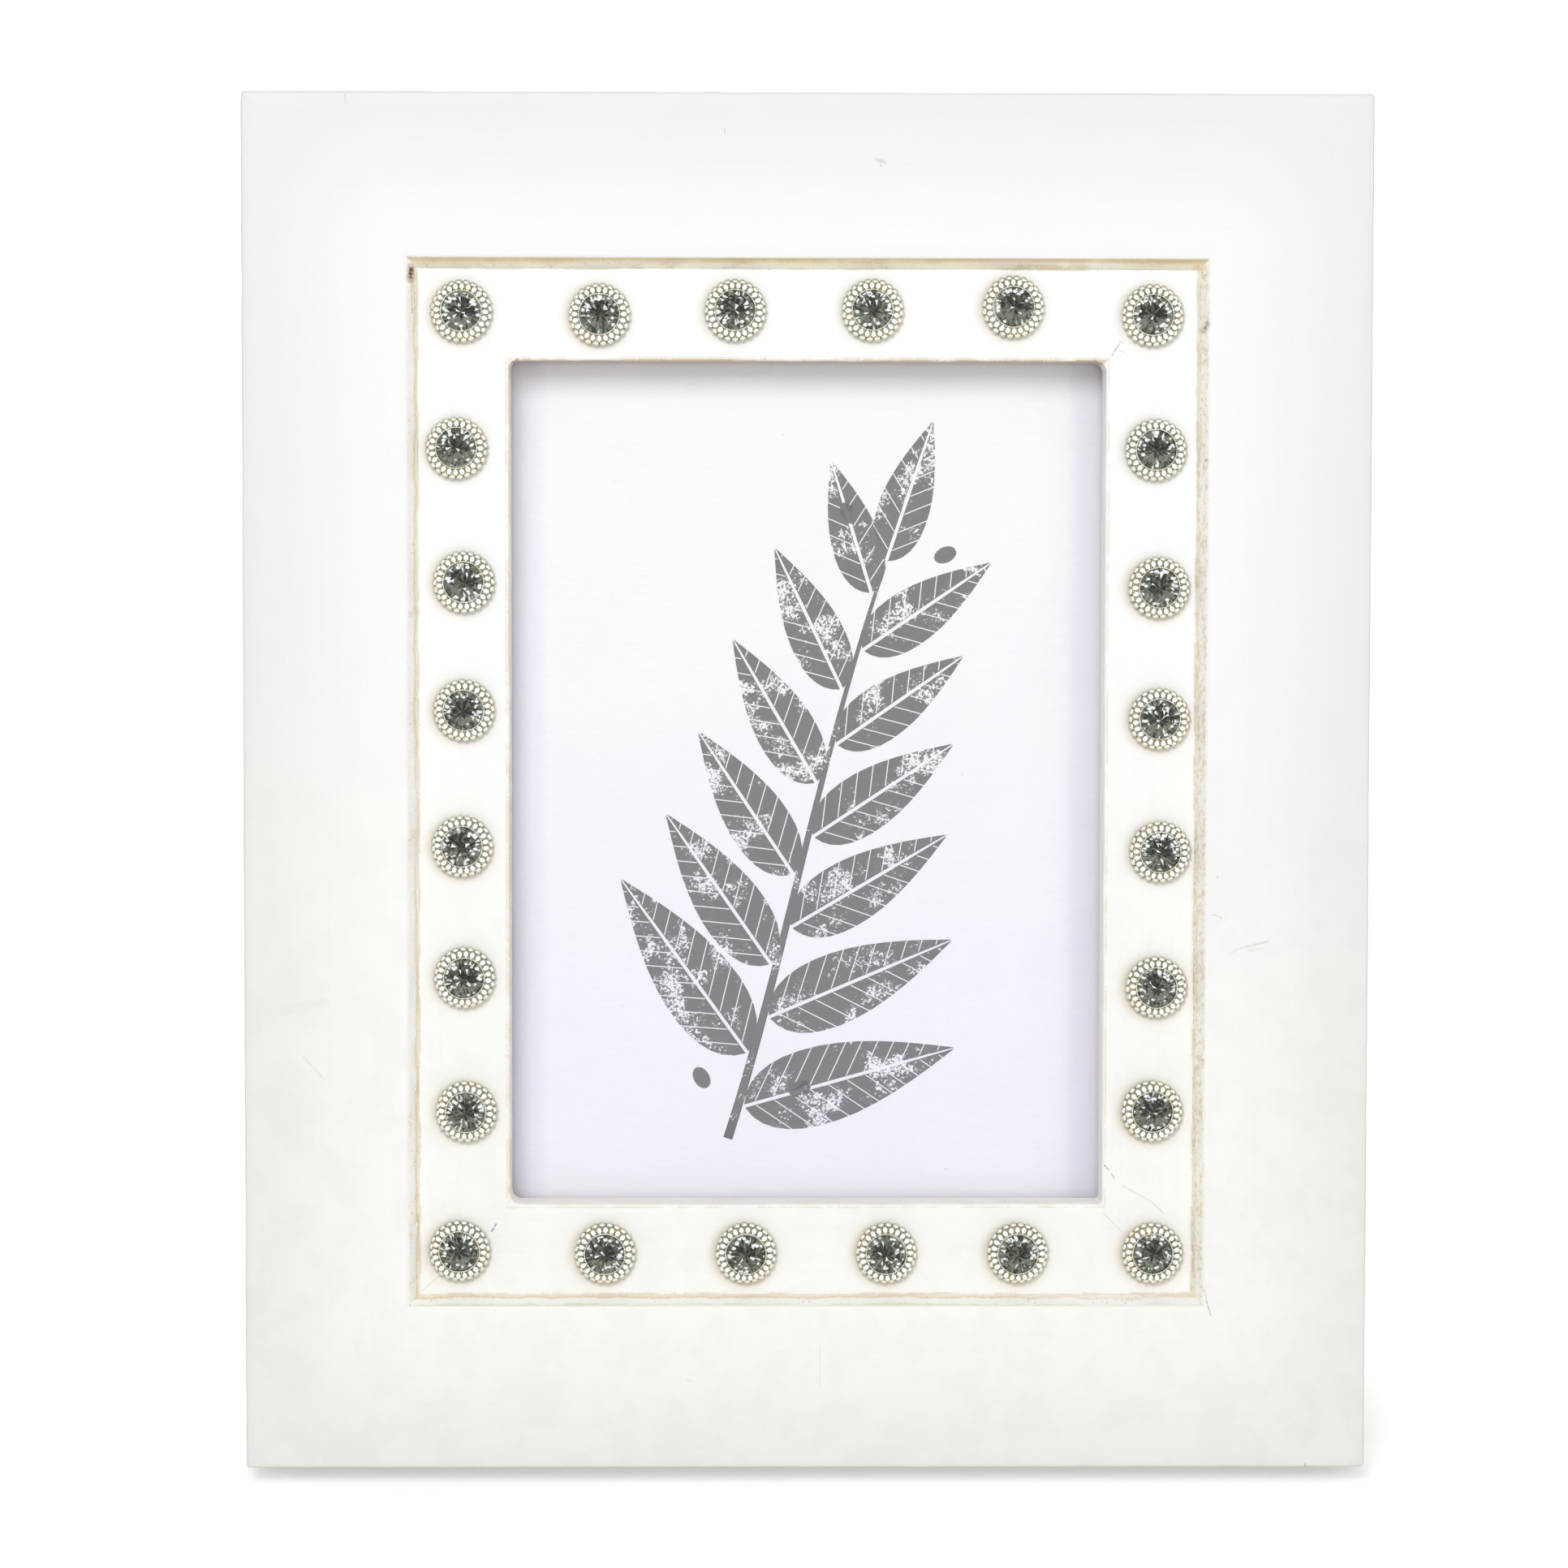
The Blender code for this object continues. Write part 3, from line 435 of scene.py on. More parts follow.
# Where a point lies on the frame, in millimetres: its distance from the outer edge, its rounded
# distance out from the recess, and masks for the side boards, the right half and the lower half

def makeZones():
    inputs = {
        "Vector": (0, 0, 0),
        "Half Width": frameWide / 2 / mm,
        "Height": frameTall / mm,
        "Recess Edge": wallTop() / mm,
    }
    outputs = ("Inward", "Round", "Depth", "Side", "Right", "Low")
    group, given, result = makeGroup("frameZones", inputs, outputs)
    x, y, z = split(given["Vector"])
    fromSide = minus(given["Half Width"], calc("ABSOLUTE", x))
    fromEnd = calc("MINIMUM", z, minus(given["Height"], z))
    outX = largest(minus(given["Recess Edge"], fromSide), 0.0)
    outZ = largest(minus(given["Recess Edge"], fromEnd), 0.0)
    feedAll(result, {
        "Inward": calc("MINIMUM", fromSide, fromEnd),
        "Round": hypotenuse(outX, outZ),
        "Depth": y,
        "Side": calc("LESS_THAN", fromSide, fromEnd),
        "Right": calc("GREATER_THAN", x, 0.0),
        "Low": fade(calc("DIVIDE", z, given["Height"]), 0.72, 0.25),
    })
    return group


# A scratch, crack or scuff: a ragged line from Start to End on the front, both in millimetres

def makeMark():
    inputs = {"Vector": (0, 0, 0), "Rag": 0.0, "Start": (0, 0, 0), "End": (0, 0, 0), "Width": 0.3}
    group, given, result = makeGroup("scuffMark", inputs, ["Mask"])
    flat = vectorCalc("MULTIPLY", given["Vector"], (1.0, 0.0, 1.0))
    reach = vectorCalc("SUBTRACT", given["End"], given["Start"])
    away = vectorCalc("SUBTRACT", flat, given["Start"])
    square = largest(vectorCalc("DOT_PRODUCT", reach, reach, output=1), 0.0001)
    along = calc("DIVIDE", vectorCalc("DOT_PRODUCT", away, reach, output=1), square, clamp=True)
    distance = vectorCalc("LENGTH", vectorCalc("SUBTRACT", away, scaled(reach, along)), output=1)
    distance = timesPlus(given["Rag"], given["Width"], distance)
    mask = fade(distance, times(given["Width"], 0.75), times(given["Width"], 0.25))
    broken = fade(given["Rag"], -0.12, 0.06, low=0.25, high=1.0)
    feed(result.inputs["Mask"], times(mask, broken))
    return group


# Dirt that has settled on paint: soft clouds broken up by a fine grain. Field is compared with a
# cover by grimeMask, and Grain, from -0.5 to 0.5, frays the edges of other marks

def makeGrime():
    inputs = {"Vector": (0, 0, 0), "Cloud Size": 6.0, "Grain Size": 0.5}
    group, given, result = makeGroup("settledGrime", inputs, ("Field", "Grain"))
    patterns = []
    for size in ("Cloud Size", "Grain Size"):
        place = scaled(given["Vector"], calc("DIVIDE", 1.0, given[size]))
        patterns.append(noise(place, 1.0, detail=2, roughness=0.6))
    grain = minus(patterns[1], 0.5)
    feedAll(result, {"Field": timesPlus(grain, 0.5, patterns[0]), "Grain": grain})
    return group


def grimeMask(field, cover, soft=0.12):
    return fade(timesPlus(cover, 0.42, field), 0.70, 0.70 + soft)


# Outer boards: one ring is shaped by hand, then cut at the mitres into four boards

boardRing = {
    "wallRun": 1.75 * mm,         # how far the recess wall slopes inwards
    "foot": 0.3 * mm,             # the paint that fills the crease against the band
    "edgeRound": 0.9 * mm,
    "lipRound": 0.55 * mm,
    "roundSteps": 4,
    "cutsAlong": 14,              # made twice, so each side has 225 stretches
    "cutsAcross": 20,
    "cutsWall": 5,
    "cutsEdge": 7,
    # size of the clouds, strength and middle level
    "surfaceWaves": (26 * mm, 0.12 * mm, 1.0),
    "wallWaves": (7 * mm, 0.45 * mm, 0.8),
    "nicks": (4 * mm, 0.14 * mm, 1.6),
    # where they start and where they are full
    "fromBack": (0.1 * mm, 2.0 * mm),
    "fromBand": (0.4 * mm, 3.0 * mm),
    "upWall": (0.2 * mm, 1.6 * mm),
    "toWall": (-2.5 * mm, -0.2 * mm),
    "nickReach": (1.6 * mm, 0.6 * mm),
    "nickDepth": (2.0 * mm, 0.9 * mm),
}


def wallTop():
    # from the outer edge to where the recess wall starts
    return bandStart - boardRing["foot"] - boardRing["wallRun"]


def inward(point):
    return min(frameWide / 2 - abs(point.x), point.z, frameTall - point.z)


def runsAlong(edge, longest):
    reach = span(edge)
    level = abs(reach.y) < tiny and (abs(reach.x) < tiny or abs(reach.z) < tiny)
    return level and reach.length > longest


def cutAlong(cuts):
    for longest in (60 * mm, 5 * mm):
        pick("EDGE", lambda edge: runsAlong(edge, longest))
        subdivide(cuts)


def runsAcross(edge):
    gap = abs(inward(edge.verts[0].co) - inward(edge.verts[1].co))
    return gap > 10 * mm and abs(span(edge).y) < tiny


def roundOff(radius):
    bpy.ops.mesh.bevel(offset=radius, segments=boardRing["roundSteps"], affect="EDGES")


def startRing(name, wide, tall, depth):
    # a flat sheet that faces forwards, in edit mode
    deselectAll()
    bpy.ops.mesh.primitive_plane_add(
        size=1, location=(0, depth, middleHeight), rotation=(math.radians(90), 0, 0),
    )
    ring = named(name)
    ring.scale = (wide, tall, 1)
    bakePlace(ring)
    editing(ring)
    return ring


def closeBack(outline, depth):
    # drops the sheet's middle, pulls its outer edge back by the depth and closes the ring behind
    bpy.ops.mesh.delete(type="ONLY_FACE")
    pick("EDGE", lambda edge: inward(middle(edge)) < outline + tiny)
    extrude(y=depth)
    pick("EDGE", lambda edge: middle(edge).y > frameThick - tiny)
    bpy.ops.mesh.bridge_edge_loops()
    pointOut()


def mitre(ring, side, name):
    # cuts one board out of the ring along the diagonals through its corners
    board = copyOf(ring, name)
    editing(board)
    for sign in (-1, 1):
        if side in ("top", "bottom"):
            corner = (sign * frameWide / 2, 0, frameTall if side == "top" else 0.0)
            away = Vector((sign, 0, -1 if side == "top" else 1))
        else:
            hand = -1 if side == "left" else 1
            corner = (hand * frameWide / 2, 0, frameTall if sign > 0 else 0.0)
            away = Vector((-hand, 0, sign))
        bpy.ops.mesh.select_all(action="SELECT")
        bpy.ops.mesh.bisect(
            plane_co=corner, plane_no=away, use_fill=True, clear_outer=True, threshold=tiny / 10,
        )
    pointOut()
    doneEditing()
    smooth(board, 38)
    return board


def makeBoardRing():
    sizes = boardRing
    flat = wallTop()
    ring = startRing("board_ring", frameWide, frameTall, 0)
    bpy.ops.mesh.inset(thickness=flat)
    bpy.ops.mesh.inset(thickness=sizes["wallRun"] + sizes["foot"], depth=-recess)
    extrude(y=frameThick - recess)
    closeBack(0, frameThick)

    def outerArris(edge):
        point = middle(edge)
        front = point.y < tiny and inward(point) < tiny
        upright = abs(span(edge).y) > 10 * mm and inward(point) < tiny
        return front or upright

    pick("EDGE", outerArris)
    roundOff(sizes["edgeRound"])
    pick("EDGE", lambda edge: middle(edge).y < tiny and abs(inward(middle(edge)) - flat) < tiny
         and abs(inward(edge.verts[0].co) - flat) < tiny)
    roundOff(sizes["lipRound"])
    cutAlong(sizes["cutsAlong"])
    pick("EDGE", runsAcross)
    subdivide(sizes["cutsAcross"])

    def downWall(edge):
        point = middle(edge)
        return flat < inward(point) < bandStart - tiny and 1 * mm < abs(span(edge).y) < 5 * mm

    pick("EDGE", downWall)
    subdivide(sizes["cutsWall"])
    pick("EDGE", lambda edge: abs(span(edge).y) > 15 * mm and inward(middle(edge)) < 1 * mm)
    subdivide(sizes["cutsEdge"])
    doneEditing()

    def surface(point):
        fromBack = step(frameThick - point.y, *sizes["fromBack"])
        return step(bandStart - inward(point), *sizes["fromBand"]) * fromBack

    def wall(point):
        if point.y > recess + tiny:
            return 0
        reach = inward(point)
        return step(bandStart - reach, *sizes["upWall"]) * step(reach - flat, *sizes["toWall"])

    def edge(point):
        return step(inward(point), *sizes["nickReach"]) * step(point.y, *sizes["nickDepth"])

    roughen(ring, "surface", surface, *sizes["surfaceWaves"])
    roughen(ring, "wall", wall, *sizes["wallWaves"], depth=3)
    roughen(ring, "edge", edge, *sizes["nicks"])
    applyAll(ring)
    ring.vertex_groups.clear()
    return ring


# Inner band: the same again, lower by the recess, with the lip and the rebate behind it

bandRing = {
    "lip": glassFront - 0.3 * mm - recess,        # from the band's face to the rebate
    "rebate": 3.475 * mm,
    "lipRound": 0.45 * mm,
    "cutsAcross": 12,
    "cutsLip": 5,
    # by the signs of the corner's place: across, then up
    "cornerRound": {(-1, 1): 1.2 * mm, (1, 1): 1.8 * mm, (-1, -1): 2.0 * mm, (1, -1): 0.6 * mm},
    "lipWaves": (8 * mm, 0.4 * mm, 0.6),
    "surfaceWaves": (18 * mm, 0.10 * mm, 0.8),
    "toOpening": (-3.0 * mm, -0.5 * mm),
    "toFront": (1.0 * mm, 0.1 * mm),
    "fromWall": (0.3 * mm, 4.0 * mm),
    # the tan stain round each stud is painted shade
    "studShadeStrength": (0.4, 1.0),                   # each stud's is drawn between these
    "studShadeReach": (6.4 * mm, 8.6 * mm),            # from a stud's middle: where the stain fades and ends
}


def makeBandRing():
    sizes = bandRing
    wide = frameWide - 2 * bandStart
    tall = frameTall - 2 * bandStart
    ring = startRing("band_ring", wide, tall, recess)
    bpy.ops.mesh.inset(thickness=bandWidth)
    extrude(y=sizes["lip"])
    extrude()
    halfWide = wide / 2 - bandWidth
    halfTall = tall / 2 - bandWidth
    grow = (1 + sizes["rebate"] / halfWide, 1, 1 + sizes["rebate"] / halfTall)
    bpy.ops.transform.resize(value=grow, center_override=(0, recess + sizes["lip"], middleHeight))
    extrude(y=frameThick - recess - sizes["lip"])
    closeBack(bandStart, frameThick - recess)
    pick("EDGE", lambda edge: abs(middle(edge).y - recess) < tiny
         and min(inward(corner.co) for corner in edge.verts) > sightInset - tiny)
    roundOff(sizes["lipRound"])
    cutAlong(boardRing["cutsAlong"])
    pick("EDGE", runsAcross)
    subdivide(sizes["cutsAcross"])
    pick("EDGE", lambda edge: abs(inward(middle(edge)) - sightInset) < tiny
         and abs(span(edge).y) > 5 * mm)
    subdivide(sizes["cutsLip"])
    doneEditing()
    roundOpening(ring, halfWide, halfTall)

    def lip(point):
        near = step(inward(point) - sightInset, *sizes["toOpening"])
        return near * step(point.y - recess, sizes["lip"] - 0.5 * mm, 2 * mm)

    def surface(point):
        front = step(point.y - recess, *sizes["toFront"])
        return front * step(inward(point) - bandStart, *sizes["fromWall"])

    roughen(ring, "lip", lip, *sizes["lipWaves"], depth=3)
    roughen(ring, "surface", surface, *sizes["surfaceWaves"])
    applyAll(ring)
    ring.vertex_groups.clear()
    addStudShade(ring)
    return ring


def addStudShade(ring):
    # a tan stain round each stud, strongest at the lower left, which is painted warm shade of the stud
    picker = random.Random(11)
    centres = [(studCentre(name), picker.uniform(*bandRing["studShadeStrength"])) for name in studNames()]
    start, end = bandRing["studShadeReach"]

    def shadeAround(point):
        most = 0.0
        for centre, amount in centres:
            away = point - centre
            reach = math.hypot(away.x, away.z)
            if reach < end:
                lean = 0.55 - 0.45 * (away.x + away.z) / max(reach, tiny) / 1.42
                most = max(most, amount * lean * step(reach, end, start))
        return most

    store(ring, "tanStainAndShade", shadeAround)


def roundOpening(ring, halfWide, halfTall):
    # paint has built up in the opening's corners, so the lip runs round them
    for vertex in ring.data.vertices:
        point = vertex.co
        if point.y > recess + bandRing["lip"] + tiny or inward(point) < sightInset - 0.5 * mm:
            continue
        up = 1 if point.z > middleHeight else -1
        across = 1 if point.x > 0 else -1
        radius = bandRing["cornerRound"][across, up]
        centre = Vector((across * (halfWide - radius), middleHeight + up * (halfTall - radius)))
        away = Vector((point.x, point.z)) - centre
        if away.x * across < 0 or away.y * up < 0 or away.length < radius:
            continue
        point.x, point.z = centre + away.normalized() * radius


# White paint, worn and soiled along its edges; painted light makes it cool at the top and creamy lower down, and
# painted shade darkens the boards towards their outer edges

paint = {
    "coolWhite": rgb(0.912, 0.913, 0.910),
    "warmWhite": rgb(0.942, 0.934, 0.892),
    "bandWhite": rgb(0.960, 0.960, 0.955),
    "bandCream": rgb(0.945, 0.940, 0.905),
    "shadeTint": rgb(0.888, 0.890, 0.884),
    "cloudTint": rgb(0.962, 0.965, 0.970),
    "boardStreak": rgb(0.978, 0.978, 0.975),
    "bandStreak": rgb(0.975, 0.975, 0.965),
    "lipCream": rgb(0.93, 0.87, 0.77),
    "lipShade": rgb(0.560, 0.470, 0.390),
    "tan": rgb(0.640, 0.500, 0.310),
    "rust": rgb(0.480, 0.260, 0.100),
    "tanStainAndShade": rgb(0.800, 0.620, 0.380),
    "darkBrown": rgb(0.085, 0.046, 0.016),
    "olive": rgb(0.340, 0.310, 0.215),
    "bareWood": rgb(0.560, 0.400, 0.245),
    "woodLine": rgb(0.420, 0.270, 0.150),
}
# the recess wall of each side, from the boards' edge down to the crease: place and colour
wallColours = {
    "top": [
        (0.00, rgb(0.68, 0.54, 0.32)), (0.16, rgb(0.79, 0.66, 0.42)), (0.45, rgb(0.90, 0.80, 0.56)),
        (0.78, rgb(0.93, 0.88, 0.70)), (1.00, rgb(0.88, 0.87, 0.74)),
    ],
    "bottom": [
        (0.00, rgb(0.76, 0.76, 0.64)), (0.14, rgb(0.92, 0.92, 0.87)), (0.64, rgb(0.92, 0.92, 0.87)),
        (0.84, rgb(0.78, 0.64, 0.46)), (1.00, rgb(0.88, 0.82, 0.68)),
    ],
    "left": [
        (0.00, rgb(0.95, 0.94, 0.91)), (0.40, rgb(0.95, 0.93, 0.88)), (0.66, rgb(0.93, 0.88, 0.77)),
        (0.80, rgb(0.79, 0.66, 0.45)), (0.88, rgb(0.86, 0.77, 0.58)), (1.00, rgb(0.95, 0.92, 0.84)),
    ],
    "right": [
        (0.00, rgb(0.96, 0.95, 0.89)), (0.20, rgb(0.93, 0.89, 0.77)), (0.40, rgb(0.96, 0.94, 0.86)),
        (0.64, rgb(0.94, 0.90, 0.78)), (0.80, rgb(0.86, 0.77, 0.58)), (1.00, rgb(0.93, 0.89, 0.78)),
    ],
}

paintFinish = {
    "specular": 0.35,
    "relief": 0.06 * mm,
    "backEdge": 17.9,             # how deep the boards are painted, in millimetres
    "backEdgeWander": 2.4,
}

# start and end from the middle and the bottom edge in millimetres, width, colour, strength
boardMarks = [
    ((-80.0, 244.0), (-80.1, 241.5), 1.45, "woodLine", 0.80),
    ((-80.0, 243.6), (-80.1, 242.1), 0.85, "darkBrown", 0.95),
    ((-79.9, 241.5), (-79.8, 235.0), 0.35, "tan", 0.7),
    ((78.4, 244.3), (79.6, 244.2), 1.5, "tanStainAndShade", 0.80),
    ((80.5, 233.0), (79.9, 231.6), 1.20, "woodLine", 0.60),
    ((80.6, 233.3), (79.9, 231.4), 0.50, "darkBrown", 0.55),
    ((80.1, 242.9), (79.7, 242.2), 0.25, "olive", 0.7),
    ((80.6, 205.7), (80.5, 205.4), 0.45, "rust", 0.9),
    ((13.5, 265.7), (15.4, 265.2), 0.75, "olive", 0.38),
    ((14.4, 264.9), (14.6, 264.4), 0.40, "olive", 0.35),
    ((-16.9, 271.8), (-16.8, 270.6), 0.18, "olive", 0.5),
    ((85.7, 105.4), (88.3, 106.9), 0.28, "olive", 0.28),
    ((88.3, 106.7), (93.6, 108.0), 0.42, "olive", 0.36),
    ((89.6, 106.1), (92.6, 106.6), 0.30, "olive", 0.30),
    ((-102.1, 84.5), (-98.0, 79.9), 0.28, "olive", 0.24),
    ((-106.0, 93.9), (-98.0, 95.4), 2.2, "olive", 0.07),
    ((2.8, 26.0), (2.8, 17.0), 0.14, "olive", 0.30),
    ((-24.5, 18.4), (-23.0, 17.9), 0.30, "olive", 0.18),
    ((83.3, 121.2), (83.4, 121.0), 0.40, "tan", 0.6),
    ((82.3, 113.5), (84.3, 112.8), 0.35, "tan", 0.6),
    ((102.0, 0.9), (102.2, 0.1), 0.2, "darkBrown", 0.8),
    ((-93.1, 278.6), (-92.9, 276.6), 0.3, "tan", 0.6),
    ((81.2, 37.0), (81.7, 34.3), 0.22, "olive", 0.6),
    ((81.7, 34.3), (82.5, 31.5), 0.25, "darkBrown", 0.55),
]
bandMarks = [
    ((-64.1, 48.4), (-63.3, 49.8), 0.38, "darkBrown", 0.75),
    ((61.5, 226.7), (63.3, 229.5), 0.22, "darkBrown", 0.65),
    ((62.8, 229.5), (64.0, 229.1), 0.16, "olive", 0.6),
    ((62.4, 227.8), (64.1, 227.3), 0.18, "olive", 0.55),
    ((-78.6, 36.0), (-73.0, 40.8), 0.2, "tan", 0.6),
    ((60.9, 61.9), (61.8, 61.0), 0.30, "darkBrown", 0.7),
    ((62.4, 60.0), (62.9, 59.2), 0.30, "olive", 0.8),
    ((64.6, 57.7), (70.4, 54.5), 0.15, "olive", 0.5),
    ((70.4, 54.5), (73.1, 52.0), 0.16, "olive", 0.6),
    ((60.8, 52.0), (64.8, 48.0), 0.16, "olive", 0.4),
]


def addMarks(colour, coords, rag, marks):
    for start, end, width, tone, amount in marks:
        mask = useGroup(scuffMark, {
            "Vector": coords,
            "Rag": rag,
            "Start": (start[0], 0.0, start[1]),
            "End": (end[0], 0.0, end[1]),
            "Width": width,
        })["Mask"]
        colour = tint(colour, paint[tone], mask, amount)
    return colour


def alongBoards(coords, side, fine, long):
    # coordinates drawn out along each board, so that a pattern on them runs its length
    scales = {0: blendValue(side, long, fine), 1: 0.5, 2: blendValue(side, fine, long)}
    return vectorCalc("MULTIPLY", coords, added("ShaderNodeCombineXYZ", scales)[0])


def bareWood(coords, side):
    drawn = alongBoards(coords, side, 0.9, 0.025)
    grain = noise(drawn, 1.0, detail=5, roughness=0.65, distortion=0.6)
    return grain, blend(fade(grain, 0.35, 0.68), paint["bareWood"], paint["woodLine"])


def paintPatterns(coords, cloudScale, dirtSize, grainSize):
    # what both paints start from: the frame's zones, brush strokes, soft clouds and settled dirt
    zones = useGroup(frameZones, {"Vector": coords})
    drawn = alongBoards(coords, zones["Side"], 1.1, 0.02)
    strokes = noise(drawn, 1.0, detail=3, roughness=0.55)
    clouds = noise(coords, cloudScale, detail=3, roughness=0.6)
    grime = useGroup(settledGrime, {"Vector": coords, "Cloud Size": dirtSize, "Grain Size": grainSize})
    return zones, strokes, clouds, grime["Field"], grime["Grain"]


def boardLook(coords):
    zones, strokes, clouds, field, grain = paintPatterns(coords, 0.10, 6.0, 0.55)
    reach, side, right = zones["Inward"], zones["Side"], zones["Right"]
    low, depth = zones["Low"], zones["Depth"]

    # painted light: cool white at the top and warm cream lower down, the right board warming only near its foot;
    # the clouds darken the lower part
    warmth = blendValue(right, low, calc("POWER", low, 4.0))
    colour = blend(warmth, paint["coolWhite"], paint["warmWhite"])
    cloudy = times(fade(clouds, 0.42, 0.62), timesPlus(low, 0.7, 0.1))
    colour = tint(colour, paint["cloudTint"], cloudy, kind="MULTIPLY")
    # painted shade: the boards darken in rounded contours from the recess out to their outer edges
    colour = tint(colour, paint["shadeTint"], fade(zones["Round"], 0.0, 35.0), kind="MULTIPLY")
    colour = tint(colour, paint["boardStreak"], fade(strokes, 0.35, 0.65), 0.30, "MULTIPLY")

    # the outer arris is rubbed through to a thin olive line
    arris = times(fade(reach, 0.40, 0.10), fade(depth, 1.5, 0.7))
    colour = tint(colour, paint["olive"], times(arris, grimeMask(field, 0.75)), 0.45)

    # the recess wall has a colour of its own on each side, tan and darkest on the top wall; the left wall is
    # painted paler than the boards as painted light
    wallStart = wallTop() / mm
    wallEnd = bandStart / mm
    wobble = times(minus(clouds, 0.5), 1.6)
    wavy = plus(reach, timesPlus(grain, 0.5, wobble))
    down = fade(wavy, wallStart, wallEnd)
    ramps = {name: colourRamp(down, stops) for name, stops in wallColours.items()}
    wall = blend(side, blend(low, ramps["top"], ramps["bottom"]), blend(right, ramps["left"], ramps["right"]))
    cover = blendValue(side, blendValue(low, 0.35, 0.10), blendValue(right, 0.25, 0.30))
    wall = tint(wall, paint["tan"], grimeMask(field, cover, 0.2), 0.55)
    wall = tint(wall, paint["bandWhite"], fade(strokes, 0.52, 0.70), 0.5)

    # the right wall's paint is chipped all over, down to a tan undercoat
    chipped = times(side, right)
    chips = noise(alongBoards(coords, side, 1.9, 0.8), 1.0, detail=3, roughness=0.7)
    wall = tint(wall, paint["tan"], times(fade(chips, 0.54, 0.60), chipped), 0.48)
    wall = tint(wall, paint["bandCream"], times(fade(chips, 0.47, 0.41), chipped), 0.55)
    dots = times(specks(coords, 0.8, 0.20), fade(clouds, 0.52, 0.60))
    wall = tint(wall, paint["rust"], dots, 0.5)
    onWall = times(fade(reach, wallStart - 0.30, wallStart + 0.20), fade(depth, 4.5, 3.6))
    colour = addMarks(blend(onWall, colour, wall), coords, grain, boardMarks)

    # the back is bare wood, with the paint's uneven edge just short of it
    woodGrain, wood = bareWood(coords, side)
    paintEnd = timesPlus(clouds, paintFinish["backEdgeWander"], paintFinish["backEdge"])
    bare = fade(minus(depth, plus(paintEnd, grain)), 0.0, 0.35)
    splash = fade(timesPlus(field, 7.0, reach), 5.2, 4.6)
    bare = times(bare, timesPlus(splash, -0.9, 1.0))
    height = timesPlus(strokes, 0.6, times(grain, 0.35))
    height = timesPlus(times(woodGrain, bare), 1.2, height)
    height = timesPlus(times(grain, onWall), 3.2, height)
    return {
        "Base Color": blend(bare, colour, wood),
        "Roughness": timesPlus(bare, 0.28, timesPlus(clouds, 0.16, 0.44)),
        "Specular IOR Level": paintFinish["specular"],
        "Normal": bump(height, paintFinish["relief"]),
    }


def bandLook(coords):
    zones, strokes, clouds, field, grain = paintPatterns(coords, 0.16, 7.0, 0.45)
    reach, side, right = zones["Inward"], zones["Side"], zones["Right"]
    low, depth = zones["Low"], zones["Depth"]
    # painted light, as on the boards: cool white at the top, cream lower down, with darker clouds on the lower
    # part
    colour = blend(low, paint["bandWhite"], paint["bandCream"])
    cloudy = times(fade(clouds, 0.45, 0.65), timesPlus(low, 0.5, 0.1))
    colour = tint(colour, paint["cloudTint"], cloudy, kind="MULTIPLY")
    colour = tint(colour, paint["bandStreak"], fade(strokes, 0.35, 0.65), 0.35, "MULTIPLY")

    # the crease against the wall, and the lip round the opening
    start = bandStart / mm
    crease = times(fade(reach, start + 0.55, start + 0.05), grimeMask(field, 0.7, 0.2))
    colour = tint(colour, paint["tan"], crease, 0.5)
    lipEdge = sightInset / mm
    wavy = timesPlus(grain, 0.35, reach)
    # the lip is tinted cream, most at the top and on the left
    towardsTopLeft = blendValue(side, minus(1.0, low), minus(1.0, right))
    lip = times(fade(wavy, lipEdge - 0.55, lipEdge - 0.25), timesPlus(towardsTopLeft, 0.75, 0.25))
    colour = tint(colour, paint["lipCream"], lip, 0.6)
    line = times(lip, grimeMask(field, 0.75, 0.2))
    atTop = times(minus(1.0, side), minus(1.0, low))
    colour = tint(colour, paint["tan"], times(line, timesPlus(atTop, 0.45, 0.35)))

    # the underside of the top lip is thinly painted, and darkened brown as painted shade
    under = times(atTop, fade(depth, recess / mm + 0.5, recess / mm + 1.3))
    under = times(under, fade(reach, lipEdge - 0.5, lipEdge - 0.2))
    colour = tint(colour, paint["lipShade"], under)
    rubbed = times(fade(wavy, lipEdge - 0.95, lipEdge - 0.75), fade(wavy, lipEdge - 0.40, lipEdge - 0.60))
    colour = tint(colour, paint["tan"], times(rubbed, grimeMask(field, 0.85, 0.25)), 0.38)
    # painted warm shade round each stud, strongest at its lower left
    colour = tint(colour, paint["tanStainAndShade"], stored(coords.id_data, "tanStainAndShade"), 0.42)
    colour = addMarks(colour, coords, grain, bandMarks)
    wood = bareWood(coords, side)[1]
    return {
        "Base Color": blend(fade(depth, 11.5, 12.2), colour, wood),
        "Roughness": timesPlus(clouds, 0.16, 0.42),
        "Specular IOR Level": paintFinish["specular"],
        "Normal": bump(timesPlus(strokes, 0.5, times(grain, 0.5)), paintFinish["relief"]),
    }


# Studs: a silver cup with two rows of beads and a faceted stone, dark with painted reflections, made once and
# copied

